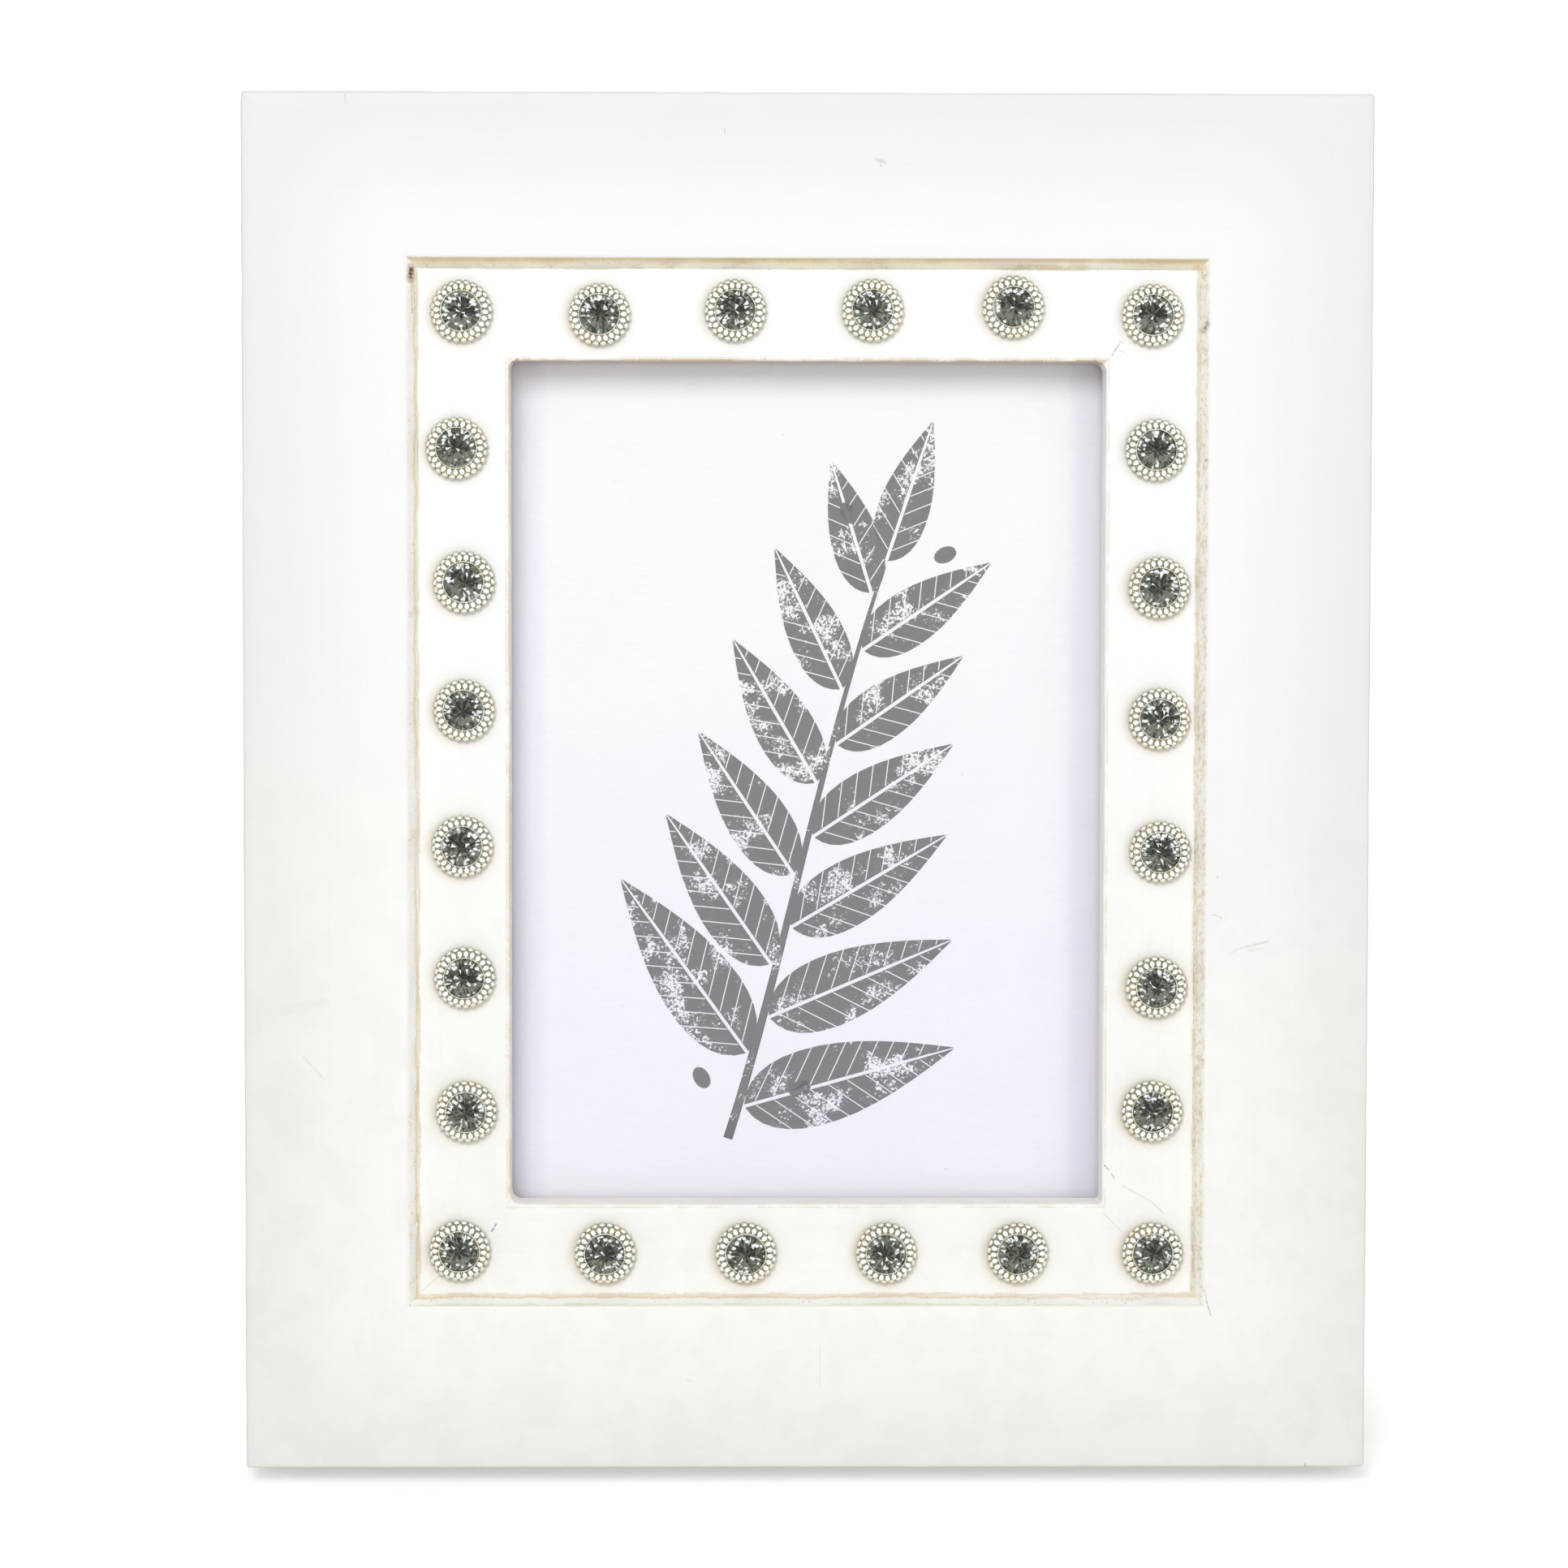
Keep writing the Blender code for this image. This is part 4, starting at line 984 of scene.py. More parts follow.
stud = {
    "beads": 24,
    "upperRadius": 4.92 * mm,
    "upperSize": (1.50 * mm, 1.20 * mm, 1.05 * mm),       # along the radius, round the cup, height
    "upperHeight": 2.40 * mm,
    "upperTilt": 14,
    # crevice amounts on the bead tops, white as a painted highlight, and in the gaps, painted shade with patina
    "upperTarnish": (0.0, 0.80),                           # on the tops and in the gaps
    "lowerRadius": 5.78 * mm,
    "lowerSize": (1.42 * mm, 1.50 * mm, 1.05 * mm),
    "lowerHeight": 1.15 * mm,
    "lowerTilt": 32,
    "lowerTarnish": (0.34, 0.60),
    "stoneSides": 12,
    "stoneRadius": 3.88 * mm,
    "stoneSlip": 0.15 * mm,                                # how far a stone sits off the middle
    "girdle": 2.35 * mm,
    "table": 3.55 * mm,
    "tableRadius": 2.2 * mm,
    "shardJitter": 0.20 * mm,
    "jitterWithin": 0.93,                                  # as a share of the stone's radius
    "skirt": 0.8 * mm,
}
# tones of the painted reflections on the facets, with painted glints among them
shardTones = {
    "core": (0.02, 0.05, 0.12),
    "coreRay": 0.20,                                       # added on every other ray of the star
    "middle": (0.04, 0.10, 0.18, 0.26, 0.34),
    "low": (0.22, 0.36, 0.40, 0.42),
    "rim": (0.16, 0.28, 0.36, 0.44),
    "glint": (0.85, 1.1),
    "glintShare": 0.05,
    "rimGlintShare": 0.14,
    "coreEnd": 0.38,                                       # as shares of the stone's radius
    "rimStart": 0.70,
    "lowEnd": -0.25,
}
cupProfile = [          # radius and height of the turned cup, from the foot to inside the rim
    (5.85, 0.0), (6.05, 0.25), (5.70, 1.1), (5.45, 1.75), (5.0, 2.1), (4.35, 2.35),
    (4.26, 2.75), (4.12, 2.88), (3.98, 2.80), (3.92, 2.45), (3.86, 1.9),
]


def studNames():
    return sorted(name for name in frame["nodes"] if name.startswith("stud_"))


def studCentre(name):
    low, high = uprightBox(name)
    return Vector(((low.x + high.x) / 2, recess, (low.z + high.z) / 2))


def startDisc(name, corners, radius, fill="NGON"):
    deselectAll()
    bpy.ops.mesh.primitive_circle_add(vertices=corners, radius=radius, fill_type=fill)
    disc = named(name)
    editing(disc)
    return disc


def raiseProfile(steps):
    # pulls the selected face up the z axis through pairs of radius and height
    radius, height = steps[0]
    for wide, high in steps[1:]:
        extrude(z=high - height)
        narrow(wide / radius, high)
        radius, height = wide, high


def makeCup():
    cup = startDisc("stud_cup", 72, cupProfile[0][0] * mm)
    raiseProfile([(wide * mm, high * mm) for wide, high in cupProfile])
    pointOut()
    doneEditing()
    smooth(cup, 60)

    # painted shade with patina below the beads and on the inside of the rim
    def crevice(point):
        reach = math.hypot(point.x, point.y)
        return 0.15 + 0.60 * step(reach, 4.3 * mm, 4.6 * mm) + 0.40 * step(reach, 4.02 * mm, 3.9 * mm)

    store(cup, "crevice", crevice)
    return joinAll([cup, makeBeads("upper", 0.0), makeBeads("lower", 0.5)])


def makeBeads(row, turn):
    dull, gap = stud[row + "Tarnish"]
    count = stud["beads"]
    pitch = 2 * math.pi / count
    deselectAll()
    bpy.ops.mesh.primitive_uv_sphere_add(segments=12, ring_count=10, radius=0.5)
    bead = named("beads_" + row)
    smooth(bead, 180)
    # white tops as a painted highlight, darker sides as painted shade with patina
    store(bead, "crevice", lambda point: dull + (gap - dull) * step(point.z, 0.46, 0.04))
    bead.scale = stud[row + "Size"]
    bead.rotation_euler = (0, math.radians(stud[row + "Tilt"]), 0)
    bead.location = (stud[row + "Radius"], 0, stud[row + "Height"])
    bakePlace(bead)
    bead.rotation_euler = (0, 0, turn * pitch)
    bakePlace(bead)
    editing(bead)
    bpy.ops.mesh.spin(
        steps=count - 1, dupli=True, angle=pitch * (count - 1), center=(0, 0, 0), axis=(0, 0, 1),
    )
    doneEditing()
    return bead


def makeStone():
    sides = stud["stoneSides"]
    radius = stud["stoneRadius"]
    stone = startDisc("stud_stone", sides, radius, "TRIFAN")
    subdivide(3)
    pick("VERT", lambda vertex: vertex.co.length < radius * stud["jitterWithin"])
    bpy.ops.transform.vertex_random(offset=stud["shardJitter"], uniform=1.0, normal=0.0, seed=5)
    doneEditing()
    sector = 2 * math.pi / sides
    for vertex in stone.data.vertices:
        # the straight sides are rounded out, then the crown falls from the table to the girdle
        angle = (math.atan2(vertex.co.y, vertex.co.x) + sector / 4) % sector - sector / 4
        off = min(abs(angle), abs(sector - angle))
        grow = math.cos(sector / 2 - off) / math.cos(sector / 2)
        vertex.co.x *= grow
        vertex.co.y *= grow
        reach = math.hypot(vertex.co.x, vertex.co.y)
        slope = step(reach, stud["tableRadius"] * 0.8, radius * 1.05)
        vertex.co.z = stud["table"] - (stud["table"] - stud["girdle"]) * slope
    editing(stone)
    pick("EDGE", lambda edge: len(edge.link_faces) == 1)
    extrude(z=-stud["skirt"])
    bpy.ops.mesh.edge_face_add()
    pointOut()
    doneEditing()
    return stone


def toneShards(stone, seed):
    # painted reflections: dark in the middle, greyer below, with white painted glints round the upper edge
    picker = random.Random(seed)
    layer = stone.data.attributes.new("paintedReflection", "FLOAT", "FACE")
    radius = stud["stoneRadius"]
    store(stone, "stonePlace",
          lambda point: (point.x / radius, point.y / radius, math.hypot(point.x, point.y) / radius),
          "FLOAT_VECTOR")
    star = picker.choice((6, 8))

    # Blender's own order of the faces changes from run to run, so they are taken by their place
    def facePlace(face):
        return [round(value / mm, 2) for value in face.center]

    for face in sorted(stone.data.polygons, key=facePlace):
        reach = math.hypot(face.center.x, face.center.y) / radius
        up = face.center.y / radius
        ray = int(math.atan2(face.center.y, face.center.x) / (2 * math.pi) * star * 2) % 2
        share = shardTones["glintShare"]
        tone = picker.choice(shardTones["middle"])
        if reach > shardTones["rimStart"]:
            if up > shardTones["lowEnd"]:
                share = shardTones["rimGlintShare"]
            tone = picker.choice(shardTones["rim"])
        elif reach < shardTones["coreEnd"]:
            tone = picker.choice(shardTones["core"]) + shardTones["coreRay"] * ray
        elif up < shardTones["lowEnd"]:
            tone = picker.choice(shardTones["low"])
        if picker.random() < share:
            tone = picker.uniform(*shardTones["glint"])
        layer.data[face.index].value = tone


def silverLook(coords):
    tarnish = noise(coords, 0.9, detail=3, roughness=0.6)
    # the stored crevice amount paints highlights on the bead tops and shade with patina in the gaps
    dark = timesPlus(minus(tarnish, 0.5), 0.30, stored(coords.id_data, "crevice"))
    colour = colourRamp(dark, [
        (0.03, rgb(0.93, 0.93, 0.92)), (0.20, rgb(0.76, 0.77, 0.72)), (0.40, rgb(0.60, 0.60, 0.51)),
        (0.70, rgb(0.36, 0.36, 0.27)), (1.00, rgb(0.13, 0.13, 0.09)),
    ])
    warm = fade(noise(coords, 0.25, detail=2), 0.48, 0.7)
    return {
        "Base Color": tint(colour, rgb(0.74, 0.62, 0.42), warm, 0.35),
        "Metallic": 1.0,
        "Roughness": timesPlus(tarnish, 0.22, 0.14),
        "Normal": bump(tarnish, 0.03 * mm),
    }


def stoneLook(coords):
    streak = noise(coords, 1.8, detail=2, distortion=0.8)
    tone = timesPlus(minus(streak, 0.5), 0.45, stored(coords.id_data, "paintedReflection"))
    colour = colourRamp(tone, [
        (0.00, rgb(0.010, 0.011, 0.008)), (0.20, rgb(0.050, 0.056, 0.042)),
        (0.40, rgb(0.190, 0.205, 0.158)), (0.62, rgb(0.380, 0.395, 0.320)),
        (0.90, rgb(0.860, 0.880, 0.880)),
    ])

    # painted highlights: round white sparkles on the facets round the table, most of them above the middle
    up, reach = split(stored(coords.id_data, "stonePlace", "Vector"))[1:]
    spots = cells(stretch(coords, (1.0, 0.0, 1.35)), 0.85)
    kept = plus(split(spots["Color"])[0], fade(up, -0.45, 0.25, 0.0, 0.45))
    dot = times(fade(spots["Distance"], 0.44, 0.30), fade(kept, 0.46, 0.50))
    ringOnly = times(fade(reach, 0.58, 0.68), fade(reach, 1.0, 0.94))
    return {
        "Base Color": tint(colour, rgb(0.93, 0.95, 0.96), times(dot, ringOnly)),
        "Roughness": timesPlus(streak, 0.08, 0.03),
        "Specular IOR Level": 0.30,
    }


def makeStuds():
    silver = surfaced("silver_patina_and_painted_light", silverLook)
    glass = surfaced("foiled_stone_painted_reflections", stoneLook)
    cupModel = makeCup()
    stoneModel = makeStone()
    slip = stud["stoneSlip"]
    for number, name in enumerate(studNames()):
        place = Matrix.Translation(studCentre(name)) @ turned(90, "X")      # its axis leaves the band
        cup = copyOf(cupModel, name.replace("stud_", "stud_cup_"))
        cup.matrix_world = place @ Matrix.Rotation(random.uniform(0, math.pi), 4, "Z")
        settle(cup, "frame", "silver_plate", silver, name)
        stone = copyOf(stoneModel, name.replace("stud_", "stud_stone_"))
        toneShards(stone, 100 + number)
        off = (random.uniform(-slip, slip), random.uniform(-slip, slip), 0)
        stone.matrix_world = place @ Matrix.Translation(off)
        settle(stone, "frame", "rhinestone", glass, name)
    remove(cupModel, stoneModel)


# Print: heavy lavender-white paper with a plain sprig of leaves in worn charcoal ink

sprig = {
    "inkThick": 0.03 * mm,
    "inkGap": 0.02 * mm,
    "pairs": 6,
    "leafLong": (45.0, 28.0),          # at the foot and at the tip of the stem, in millimetres
    "leafWide": 0.355,                 # as a share of the length
    "leafAngle": (56, 34),
    "leafSpread": ((0.94, 1.06), (-3, 3)),          # drawn between these: size and angle
    "leafStalk": 1.6,
    "pairShare": (0.10, 0.80),         # where the first pair is, and from there to the last
    "stagger": 0.045,
    "topLeaf": (30.0, 10.5),           # length and width
    "topStalk": 1.2,
    "veinGap": 0.7,
    "stemRadius": (0.95, 0.35),
    "budRadius": 1.9,
    "budShape": (1.25, 0.85, 1),
    "budAngle": 48,
    "buds": [(0.02, 1, 12), (0.035, -1, 15), (0.99, 1, 14), (0.97, -1, 15)],    # share, side, reach
    "stem": [(-16.0, 66.0), (-4.0, 104.0), (2.0, 142.0), (16.0, 184.0)],
}
weld = 0.002 * mm


def between(pair, part):
    return pair[0] + (pair[1] - pair[0]) * part


def onStem(part):
    # the place and the heading at a share of the stem's length, on one smooth curve
    points = [Vector(point) for point in sprig["stem"]]
    stay = 1 - part
    place = (stay ** 3 * points[0] + 3 * stay ** 2 * part * points[1]
             + 3 * stay * part ** 2 * points[2] + part ** 3 * points[3])
    heading = (stay ** 2 * (points[1] - points[0]) + 2 * stay * part * (points[2] - points[1])
               + part ** 2 * (points[3] - points[2]))
    return place, math.atan2(heading.y, heading.x)


def onward(angle, far):
    return Vector((math.cos(angle), math.sin(angle))) * far


def setHandles(curve, handles):
    # each point of a curve from its place, its left handle and its right one, in millimetres
    for point, (place, left, right) in zip(curve.data.splines[0].bezier_points, handles):
        point.handle_left_type = "FREE"
        point.handle_right_type = "FREE"
        point.co = Vector((*place, 0)) * mm
        point.handle_left = Vector((*left, 0)) * mm
        point.handle_right = Vector((*right, 0)) * mm


def makeLeaf(long, wide):
    gap = sprig["veinGap"] / 2
    half = wide / 2
    deselectAll()
    bpy.ops.curve.primitive_bezier_circle_add(radius=1)
    leaf = named("leaf")
    leaf.data.dimensions = "2D"
    leaf.data.fill_mode = "BOTH"
    leaf.data.resolution_u = 7
    leaf.data.extrude = sprig["inkThick"] / 2
    setHandles(leaf, [
        ((0, gap), (0.15 * long, gap), (0.04 * long, 0.75 * half)),
        ((0.40 * long, half), (0.18 * long, 1.08 * half), (0.62 * long, 0.92 * half)),
        ((long, 0.12), (0.86 * long, 0.34 * half), (0.9 * long, gap * 0.6)),
        ((0.5 * long, gap), (0.7 * long, gap), (0.3 * long, gap)),
    ])
    makeActive(leaf)
    bpy.ops.object.convert(target="MESH")
    mergeAndPointOut(leaf, weld)
    twin = copyOf(leaf, "leaf_twin")
    twin.scale = (1, -1, 1)
    bakePlace(twin)
    mergeAndPointOut(twin, weld)
    joinAll([leaf, twin])
    store(leaf, "leafPlace", lambda point: (point.x / mm, abs(point.y) / mm, point.x / mm / long),
          "FLOAT_VECTOR")
    return leaf


def inkPlace(place, angle):
    level = paperFront - sprig["inkGap"] - sprig["inkThick"] / 2
    standing = turned(90, "X") @ Matrix.Rotation(angle, 4, "Z")
    return Matrix.Translation((place.x * mm, level, place.y * mm)) @ standing


def makeStem():
    deselectAll()
    bpy.ops.curve.primitive_bezier_curve_add()
    stem = named("stem")
    stem.data.bevel_depth = 1 * mm
    stem.data.bevel_resolution = 2
    stem.data.resolution_u = 24
    stem.data.use_fill_caps = True
    foot, low, high, tip = sprig["stem"]
    setHandles(stem, [(foot, low, low), (tip, high, high)])
    for point, radius in zip(stem.data.splines[0].bezier_points, sprig["stemRadius"]):
        point.radius = radius
    bpy.ops.object.convert(target="MESH")
    mergeAndPointOut(stem, weld)
    stem.scale = (1, 1, sprig["inkThick"] / (2 * sprig["stemRadius"][0] * mm))
    bakePlace(stem)
    stem.matrix_world = inkPlace(Vector((0, 0)), 0)
    return stem


def makeBud():
    deselectAll()
    bpy.ops.mesh.primitive_cylinder_add(vertices=28, radius=sprig["budRadius"] * mm, depth=sprig["inkThick"])
    bud = named("bud")
    bud.scale = sprig["budShape"]
    bakePlace(bud)
    return bud


def makeSprig(ink):
    parts = [makeStem()]
    firstShare, pairsRun = sprig["pairShare"]
    sizeSpread, angleSpread = sprig["leafSpread"]
    for index in range(sprig["pairs"]):
        for hand in (-1, 1):
            share = firstShare + pairsRun * index / (sprig["pairs"] - 1) + sprig["stagger"] * hand
            place, heading = onStem(share)
            long = between(sprig["leafLong"], share) * random.uniform(*sizeSpread)
            leaf = makeLeaf(long, long * sprig["leafWide"])
            opening = between(sprig["leafAngle"], share) + random.uniform(*angleSpread)
            angle = heading + hand * math.radians(opening)
            leaf.matrix_world = inkPlace(place + onward(angle, sprig["leafStalk"]), angle)
            parts.append(leaf)
    place, heading = onStem(1.0)
    top = makeLeaf(*sprig["topLeaf"])
    top.matrix_world = inkPlace(place + onward(heading, sprig["topStalk"]), heading)
    parts.append(top)
    for share, hand, far in sprig["buds"]:
        place, heading = onStem(share)
        angle = heading + hand * math.radians(sprig["budAngle"])
        bud = makeBud()
        bud.matrix_world = inkPlace(place + onward(angle, far), angle)
        parts.append(bud)
    joinAll(parts)
    whole = named("printed_sprig")
    bakePlace(whole)
    settle(whole, "frame", "print_paper", ink)


printed = {
    "paperTop": rgb(0.970, 0.968, 0.985),
    "paperLow": rgb(0.918, 0.904, 0.982),
    "paperSideShade": rgb(0.905, 0.895, 0.955),
    "paperFibre": rgb(0.975, 0.975, 0.985),
    "paperFleck": rgb(0.42, 0.42, 0.46),
    "ink": rgb(0.150, 0.156, 0.162),
    "inkWeave": rgb(0.185, 0.190, 0.205),
}


def paperColour(coords):
    across, height = split(coords)[::2]
    colour = blend(fade(height, 190.0, 70.0), printed["paperTop"], printed["paperLow"])
    # painted shade on the paper beside the left and right walls of the opening
    sightSide = (frameWide / 2 - sightInset) / mm
    wallShade = fade(calc("ABSOLUTE", across), sightSide - 8.0, sightSide - 4.0)
    colour = tint(colour, printed["paperSideShade"], wallShade, kind="MULTIPLY")
    fibre = noise(stretch(coords, (0.5, 1.0, 2.4)), 1.0, detail=4, roughness=0.7)
    return tint(colour, printed["paperFibre"], fade(fibre, 0.35, 0.65), kind="MULTIPLY"), fibre


def paperLook(coords):
    colour, fibre = paperColour(coords)
    return {
        "Base Color": tint(colour, printed["paperFleck"], specks(coords, 0.16, 0.035), 0.45),
        "Roughness": timesPlus(fibre, 0.1, 0.8),
        "Specular IOR Level": 0.2,
        "Normal": bump(fibre, 0.03 * mm),
    }


def inkLook(coords):
    paper, fibre = paperColour(coords)
    along, across, share = split(stored(coords.id_data, "leafPlace", "Vector"))
    ribs = calc("DIVIDE", timesPlus(across, -0.85, along), 3.9)
    offRib = calc("ABSOLUTE", minus(calc("FRACT", ribs), 0.5))
    rib = times(fade(offRib, 0.050, 0.015), fade(across, 0.4, 0.6))
    broad = noise(coords, 0.13, detail=3, roughness=0.6)
    fine = noise(coords, 2.1, detail=3, roughness=0.7)
    dry = timesPlus(fade(broad, 0.40, 0.66), 0.28, times(share, 0.05))
    bald = largest(fade(plus(fine, dry), 0.74, 0.82), rib)
    ink = tint(printed["ink"], printed["inkWeave"], fade(fibre, 0.4, 0.7), 0.5)
    return {
        "Base Color": blend(bald, ink, paper),
        "Roughness": timesPlus(fine, 0.15, 0.65),
        "Specular IOR Level": 0.25,
        "Normal": bump(fine, 0.02 * mm),
    }


def makeGlass():
    # shadow rays and diffuse rays pass the pane, so that the print behind it keeps its light
    material, shader = plainMaterial("window_glass")
    tree = material.node_tree
    haze = fade(noise(uprightMillimetres(tree), 0.05, detail=3), 0.4, 0.7)
    feedAll(shader, {
        "Base Color": blend(haze, rgb(0.985, 0.99, 0.99), rgb(0.97, 0.975, 0.985)),
        "Roughness": 0.0,
        "IOR": 1.5,
        "Transmission Weight": 1.0,
    })
    path = node(tree, "ShaderNodeLightPath").outputs
    clear = feedAll(node(tree, "ShaderNodeBsdfTransparent"), {"Color": grey(0.99)})
    both = added("ShaderNodeMixShader", {
        0: largest(path["Is Shadow Ray"], path["Is Diffuse Ray"]),
        1: shader.outputs[0],
        2: clear.outputs[0],
    })
    feed(tree.nodes["Material Output"].inputs["Surface"], both[0])
    return material


# Back: fibre board, grey card and zinc

def hardboardLook(coords):
    fibre = noise(stretch(coords, (1.2, 1.2, 0.8)), 1.0, detail=5, roughness=0.7, distortion=1.5)
    colour = blend(fade(fibre, 0.35, 0.65), rgb(0.245, 0.140, 0.072), rgb(0.150, 0.082, 0.042))
    clouds = fade(noise(coords, 0.06, detail=3), 0.4, 0.65)
    colour = tint(colour, rgb(0.88, 0.86, 0.84), clouds, kind="MULTIPLY")
    pale = fade(noise(stretch(coords, (3.0, 3.0, 0.9)), 1.0, detail=2), 0.64, 0.72)
    return {
        "Base Color": tint(colour, rgb(0.42, 0.28, 0.17), pale, 0.45),
        "Roughness": timesPlus(fibre, 0.25, 0.45),
        "Normal": bump(fibre, 0.06 * mm),
    }


def zincLook(coords):
    flake = split(cells(coords, 0.45)["Color"])[0]
    brushed = noise(stretch(coords, (0.3, 3.0, 5.0)), 1.0, detail=3)
    colour = blend(flake, rgb(0.60, 0.61, 0.63), rgb(0.70, 0.71, 0.72))
    dull = fade(noise(coords, 0.2, detail=3), 0.5, 0.7)
    return {
        "Base Color": tint(colour, rgb(0.46, 0.45, 0.43), dull, 0.5),
        "Metallic": 1.0,
        "Roughness": timesPlus(brushed, 0.2, timesPlus(flake, 0.08, 0.24)),
        "Normal": bump(brushed, 0.02 * mm),
    }


def cardLook(coords):
    fibre = noise(coords, 1.5, detail=4, roughness=0.7)
    return {
        "Base Color": blend(fade(fibre, 0.35, 0.65), rgb(0.42, 0.41, 0.39), rgb(0.34, 0.33, 0.31)),
        "Roughness": 0.9,
        "Normal": bump(fibre, 0.04 * mm),
    }


hardware = {
    "buttonThick": 1.0 * mm,
    "buttonRoot": 4.5 * mm,
    "buttonTip": 3.0 * mm,
    "buttonReach": 15.0 * mm,
    "buttonArris": 0.25 * mm,
    "headRadius": 3.1 * mm,
    "headHigh": 1.6 * mm,
    "headProfile": [(1.0, 0.0), (1.0, 0.25), (0.93, 0.55), (0.76, 0.80), (0.50, 0.94), (0.22, 1.0)],
    "shankRadius": 1.35 * mm,
    "threadRadius": 1.05 * mm,
    "threadPitch": 0.9 * mm,
    "pointLong": 3.0 * mm,
    "crossLong": 3.0 * mm,
    "crossWide": 0.75 * mm,
    "crossDeep": 0.9 * mm,
    "crossTaper": 0.55,
}


def makeButton():
    # a pear-shaped strip of steel, its screw at the origin and its tip along x
    root = hardware["buttonRoot"]
    reach = hardware["buttonReach"]
    button = startDisc("button", 40, root)
    pick("VERT", lambda vertex: vertex.co.x > tiny)
    bpy.ops.transform.translate(value=(reach, 0, 0))
    ratio = hardware["buttonTip"] / root
    bpy.ops.transform.resize(value=(ratio, ratio, 1), center_override=(reach, 0, 0))
    bpy.ops.mesh.select_all(action="SELECT")
    extrude(z=hardware["buttonThick"])
    pointOut()
    pick("EDGE", lambda edge: abs(span(edge).z) < tiny)
    bpy.ops.mesh.bevel(offset=hardware["buttonArris"], segments=2, affect="EDGES")
    doneEditing()
    smooth(button, 50)
    return button


def makeScrew(long):
    # a pan head with a cross recess on a threaded shank, the head upwards from the origin
    sizes = hardware
    head, high, shank = sizes["headRadius"], sizes["headHigh"], sizes["shankRadius"]
    screw = startDisc("screw", 32, head)
    raiseProfile([(wide * head, rise * high) for wide, rise in sizes["headProfile"]])
    pick("FACE", lambda face: face.calc_center_median().z < tiny and len(face.verts) > 20)
    bpy.ops.mesh.inset(thickness=head - shank)
    turns = int((long - sizes["pointLong"]) / sizes["threadPitch"])
    thread = [(shank, 0.0)]
    for number, radius in enumerate((sizes["threadRadius"], shank) * turns, 1):
        thread.append((radius, -number * sizes["threadPitch"] / 2))
    raiseProfile(thread + [(0.1 * shank, -long)])
    pointOut()
    doneEditing()
    for turn in (0, 90):
        deselectAll()
        bpy.ops.mesh.primitive_cube_add(size=1, location=(0, 0, high))
        wing = named("wing")
        wing.scale = (sizes["crossLong"], sizes["crossWide"], 2 * sizes["crossDeep"])
        wing.rotation_euler = (0, 0, math.radians(turn))
        bakePlace(wing)
        editing(wing)
        pick("VERT", lambda vertex: vertex.co.z < high)
        narrow(sizes["crossTaper"], high)
        doneEditing()
        cut = screw.modifiers.new("recess", "BOOLEAN")
        cut.operation = "DIFFERENCE"
        cut.object = wing
        applyAll(screw)
        remove(wing)
    smooth(screw, 32)
    return screw


def placeHardware(steel):
    screwLow, screwHigh = uprightBox("button_screw_left_lower")
    seat = uprightBox("turn_button_left_lower")[0].y
    headBase = screwHigh.y - hardware["headHigh"]
    buttonModel = makeButton()
    screwModel = makeScrew(headBase - screwLow.y)
    outOfBack = turned(-90, "X")         # the model's own z runs out of the back
    for hand in ("left_lower", "left_upper", "right_lower", "right_upper"):
        screwLow, screwHigh = uprightBox("button_screw_" + hand)
        centre = (screwLow + screwHigh) / 2
        button = copyOf(buttonModel, "turn_button_plate_" + hand)
        toMiddle = outOfBack @ turned(0 if centre.x < 0 else 180, "Z")
        button.matrix_world = Matrix.Translation((centre.x, seat, centre.z)) @ toMiddle
        settle(button, "turn_button_" + hand, "zinc_plated_steel", steel, "turn_button_" + hand)
        screw = copyOf(screwModel, "cross_screw_" + hand)
        asDriven = outOfBack @ Matrix.Rotation(random.uniform(0, math.pi), 4, "Z")
        screw.matrix_world = Matrix.Translation((centre.x, headBase, centre.z)) @ asDriven
        settle(screw, "frame", "zinc_plated_steel", steel, "button_screw_" + hand)
    remove(buttonModel, screwModel)


# Everything on the frame, made in this order

print("frame loaded:", len(frame["nodes"]), "nodes")
frameZones = makeZones()
scuffMark = makeMark()
settledGrime = makeGrime()
boardPaint = surfaced("worn_white_paint", boardLook)
bandPaint = surfaced("worn_band_paint", bandLook)
print("paint ready")

for makeRing, painted, bare, finish in (
    (makeBoardRing, "painted_board_", "outer_board_", boardPaint),
    (makeBandRing, "painted_band_", "inner_band_", bandPaint),
):
    ring = makeRing()
    for side in sides:
        board = mitre(ring, side, painted + side)
        settle(board, "frame", "distressed_white_paint", finish, bare + side)
    remove(ring)
print("boards and bands ready")

makeStuds()
print("studs ready")

dress(surfaced("lavender_paper", paperLook), "print_card")
makeSprig(surfaced("worn_charcoal_ink", inkLook))
dress(makeGlass(), "glass_pane")
dress(surfaced("grey_card", cardLook), "filler_card")
dress(surfaced("brown_hardboard", hardboardLook), "back_board", "strut_leg")
zinc = surfaced("zinc_plate", zincLook)
dress(zinc, *[name for name in frame["nodes"] if name.startswith(
    ("board_rivet", "hanger_nail", "hinge", "leg_rivet", "sawtooth", "vnail"))])
placeHardware(zinc)
print("print, glass and back ready")


# Light, floor and camera

view = {
    "place": (-16.93, -900.0, 185.96),                 # in upright millimetres
    "turns": (2.927, 0.061, 0.776),                    # about x, y and z, in degrees
    "lens": 102.2,
    "sensor": 36.0,
}


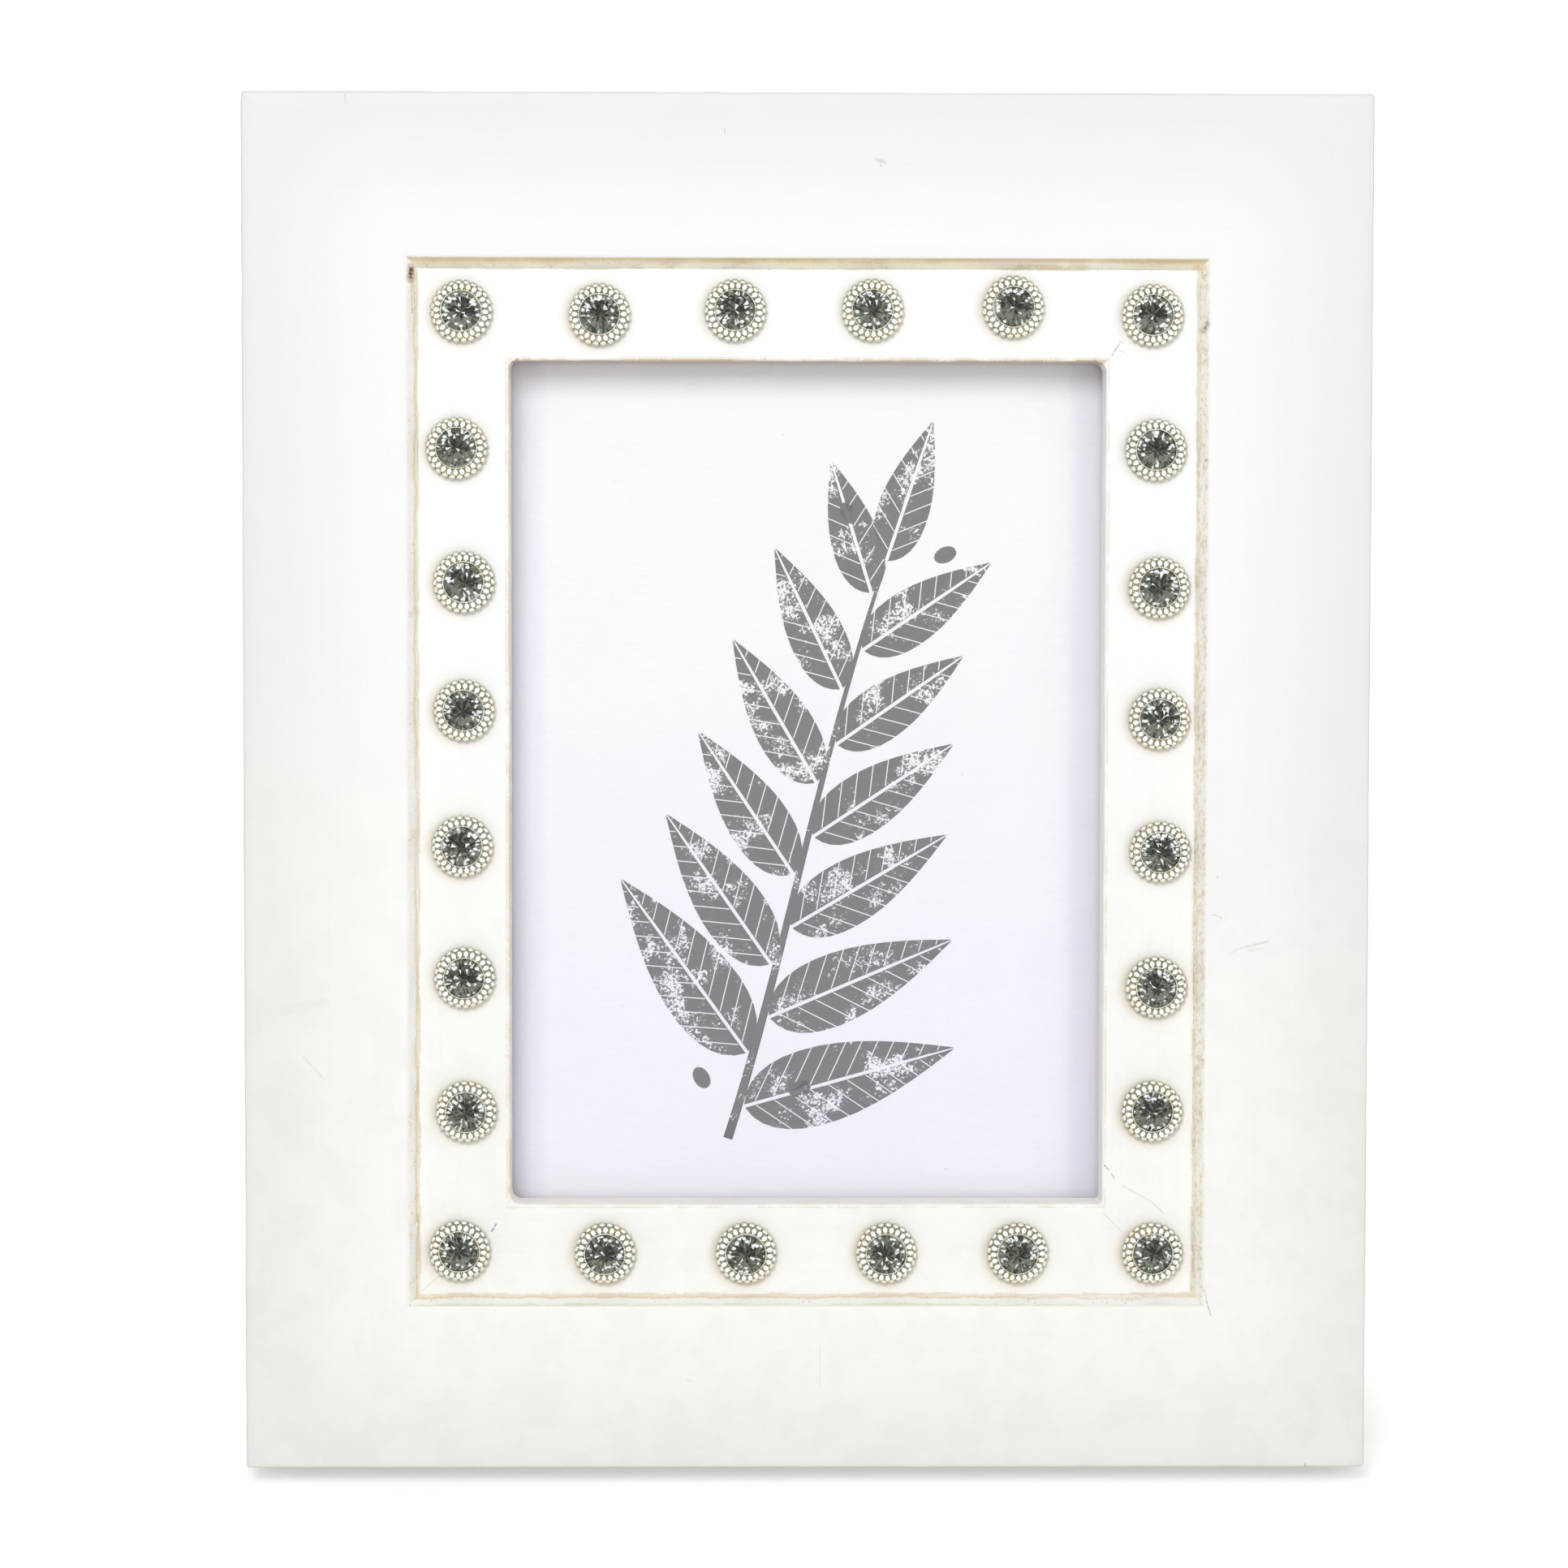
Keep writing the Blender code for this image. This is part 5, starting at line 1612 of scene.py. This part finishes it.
def makeCamera():
    camera = bpy.data.objects.new("camera", bpy.data.cameras.new("camera"))
    bpy.context.collection.objects.link(camera)
    camera.data.lens = view["lens"]
    camera.data.sensor_width = view["sensor"]
    aboutX, aboutY, aboutZ = view["turns"]
    looking = turned(aboutZ, "Z") @ turned(aboutY, "Y") @ turned(aboutX, "X")
    right, ahead, above = [looking[row].to_3d() for row in range(3)]
    facing = Matrix((right, above, -ahead)).transposed().to_4x4()
    place = Matrix.Translation(Vector(view["place"]) * mm)
    camera.matrix_world = stance @ place @ facing
    bpy.context.scene.camera = camera


lightLevel = {
    "world": 0.45,
    "key": (16.4, 0.75, (-0.30, -1.45, 1.38)),         # power, size and place
    "fill": (6.5, 1.4, (1.3, -1.6, 0.9)),
    "floorLift": (0.34, 0.58),                         # at the frame's foot and just away from it
}


def makeLamp(name):
    power, size, place = lightLevel[name]
    lamp = bpy.data.lights.new(name + "_light", "AREA")
    lamp.energy = power
    lamp.size = size
    holder = bpy.data.objects.new(name + "_light", lamp)
    bpy.context.collection.objects.link(holder)
    target = stance @ Vector((0, 0, middleHeight))
    holder.location = place
    holder.rotation_euler = (target - Vector(place)).to_track_quat("-Z", "Y").to_euler()


def seenDirectly(tree):
    # 1 for what the camera sees, also in a reflection or through the glass
    rays = node(tree, "ShaderNodeLightPath").outputs
    return largest(largest(rays["Is Camera Ray"], rays["Is Glossy Ray"]), rays["Is Transmission Ray"])


def makeWorld():
    world = bpy.data.worlds.new("studio")
    world.use_nodes = True
    bpy.context.scene.world = world
    strength = blendValue(seenDirectly(world.node_tree), lightLevel["world"], 1.0)
    feedAll(world.node_tree.nodes["Background"], {"Color": grey(1.0), "Strength": strength})


def makeFloor():
    deselectAll()
    bpy.ops.mesh.primitive_plane_add(size=40, location=(0, 0, 0))
    floor = named("floor")
    material, shader = plainMaterial("pale_floor")
    tree = material.node_tree
    place = node(tree, "ShaderNodeTexCoord").outputs["Object"]
    away = vectorCalc("LENGTH", place, output=1)
    x, y = split(place)[:2]
    beside = largest(minus(calc("ABSOLUTE", x), frameWide / 2), 0.0)
    near = hypotenuse(beside, plus(y, -cornerStone.y))
    mottle = noise(place, 6.0, detail=3)
    feedAll(shader, {"Base Color": blend(mottle, grey(0.84), grey(0.86)), "Roughness": 0.9})
    lift = fade(near, 0.0, 0.07, *lightLevel["floorLift"])         # the shadow shows only close by
    lift = blendValue(fade(away, 0.25, 0.9), lift, 1.0)
    glow = added("ShaderNodeEmission", {"Strength": times(seenDirectly(tree), lift)})
    both = added("ShaderNodeAddShader", {0: shader.outputs[0], 1: glow[0]})
    feed(tree.nodes["Material Output"].inputs["Surface"], both[0])
    floor.data.materials.append(material)


makeCamera()
makeWorld()
makeFloor()
makeLamp("key")
makeLamp("fill")
bpy.context.scene.view_settings.view_transform = "Standard"
print("light and camera ready")
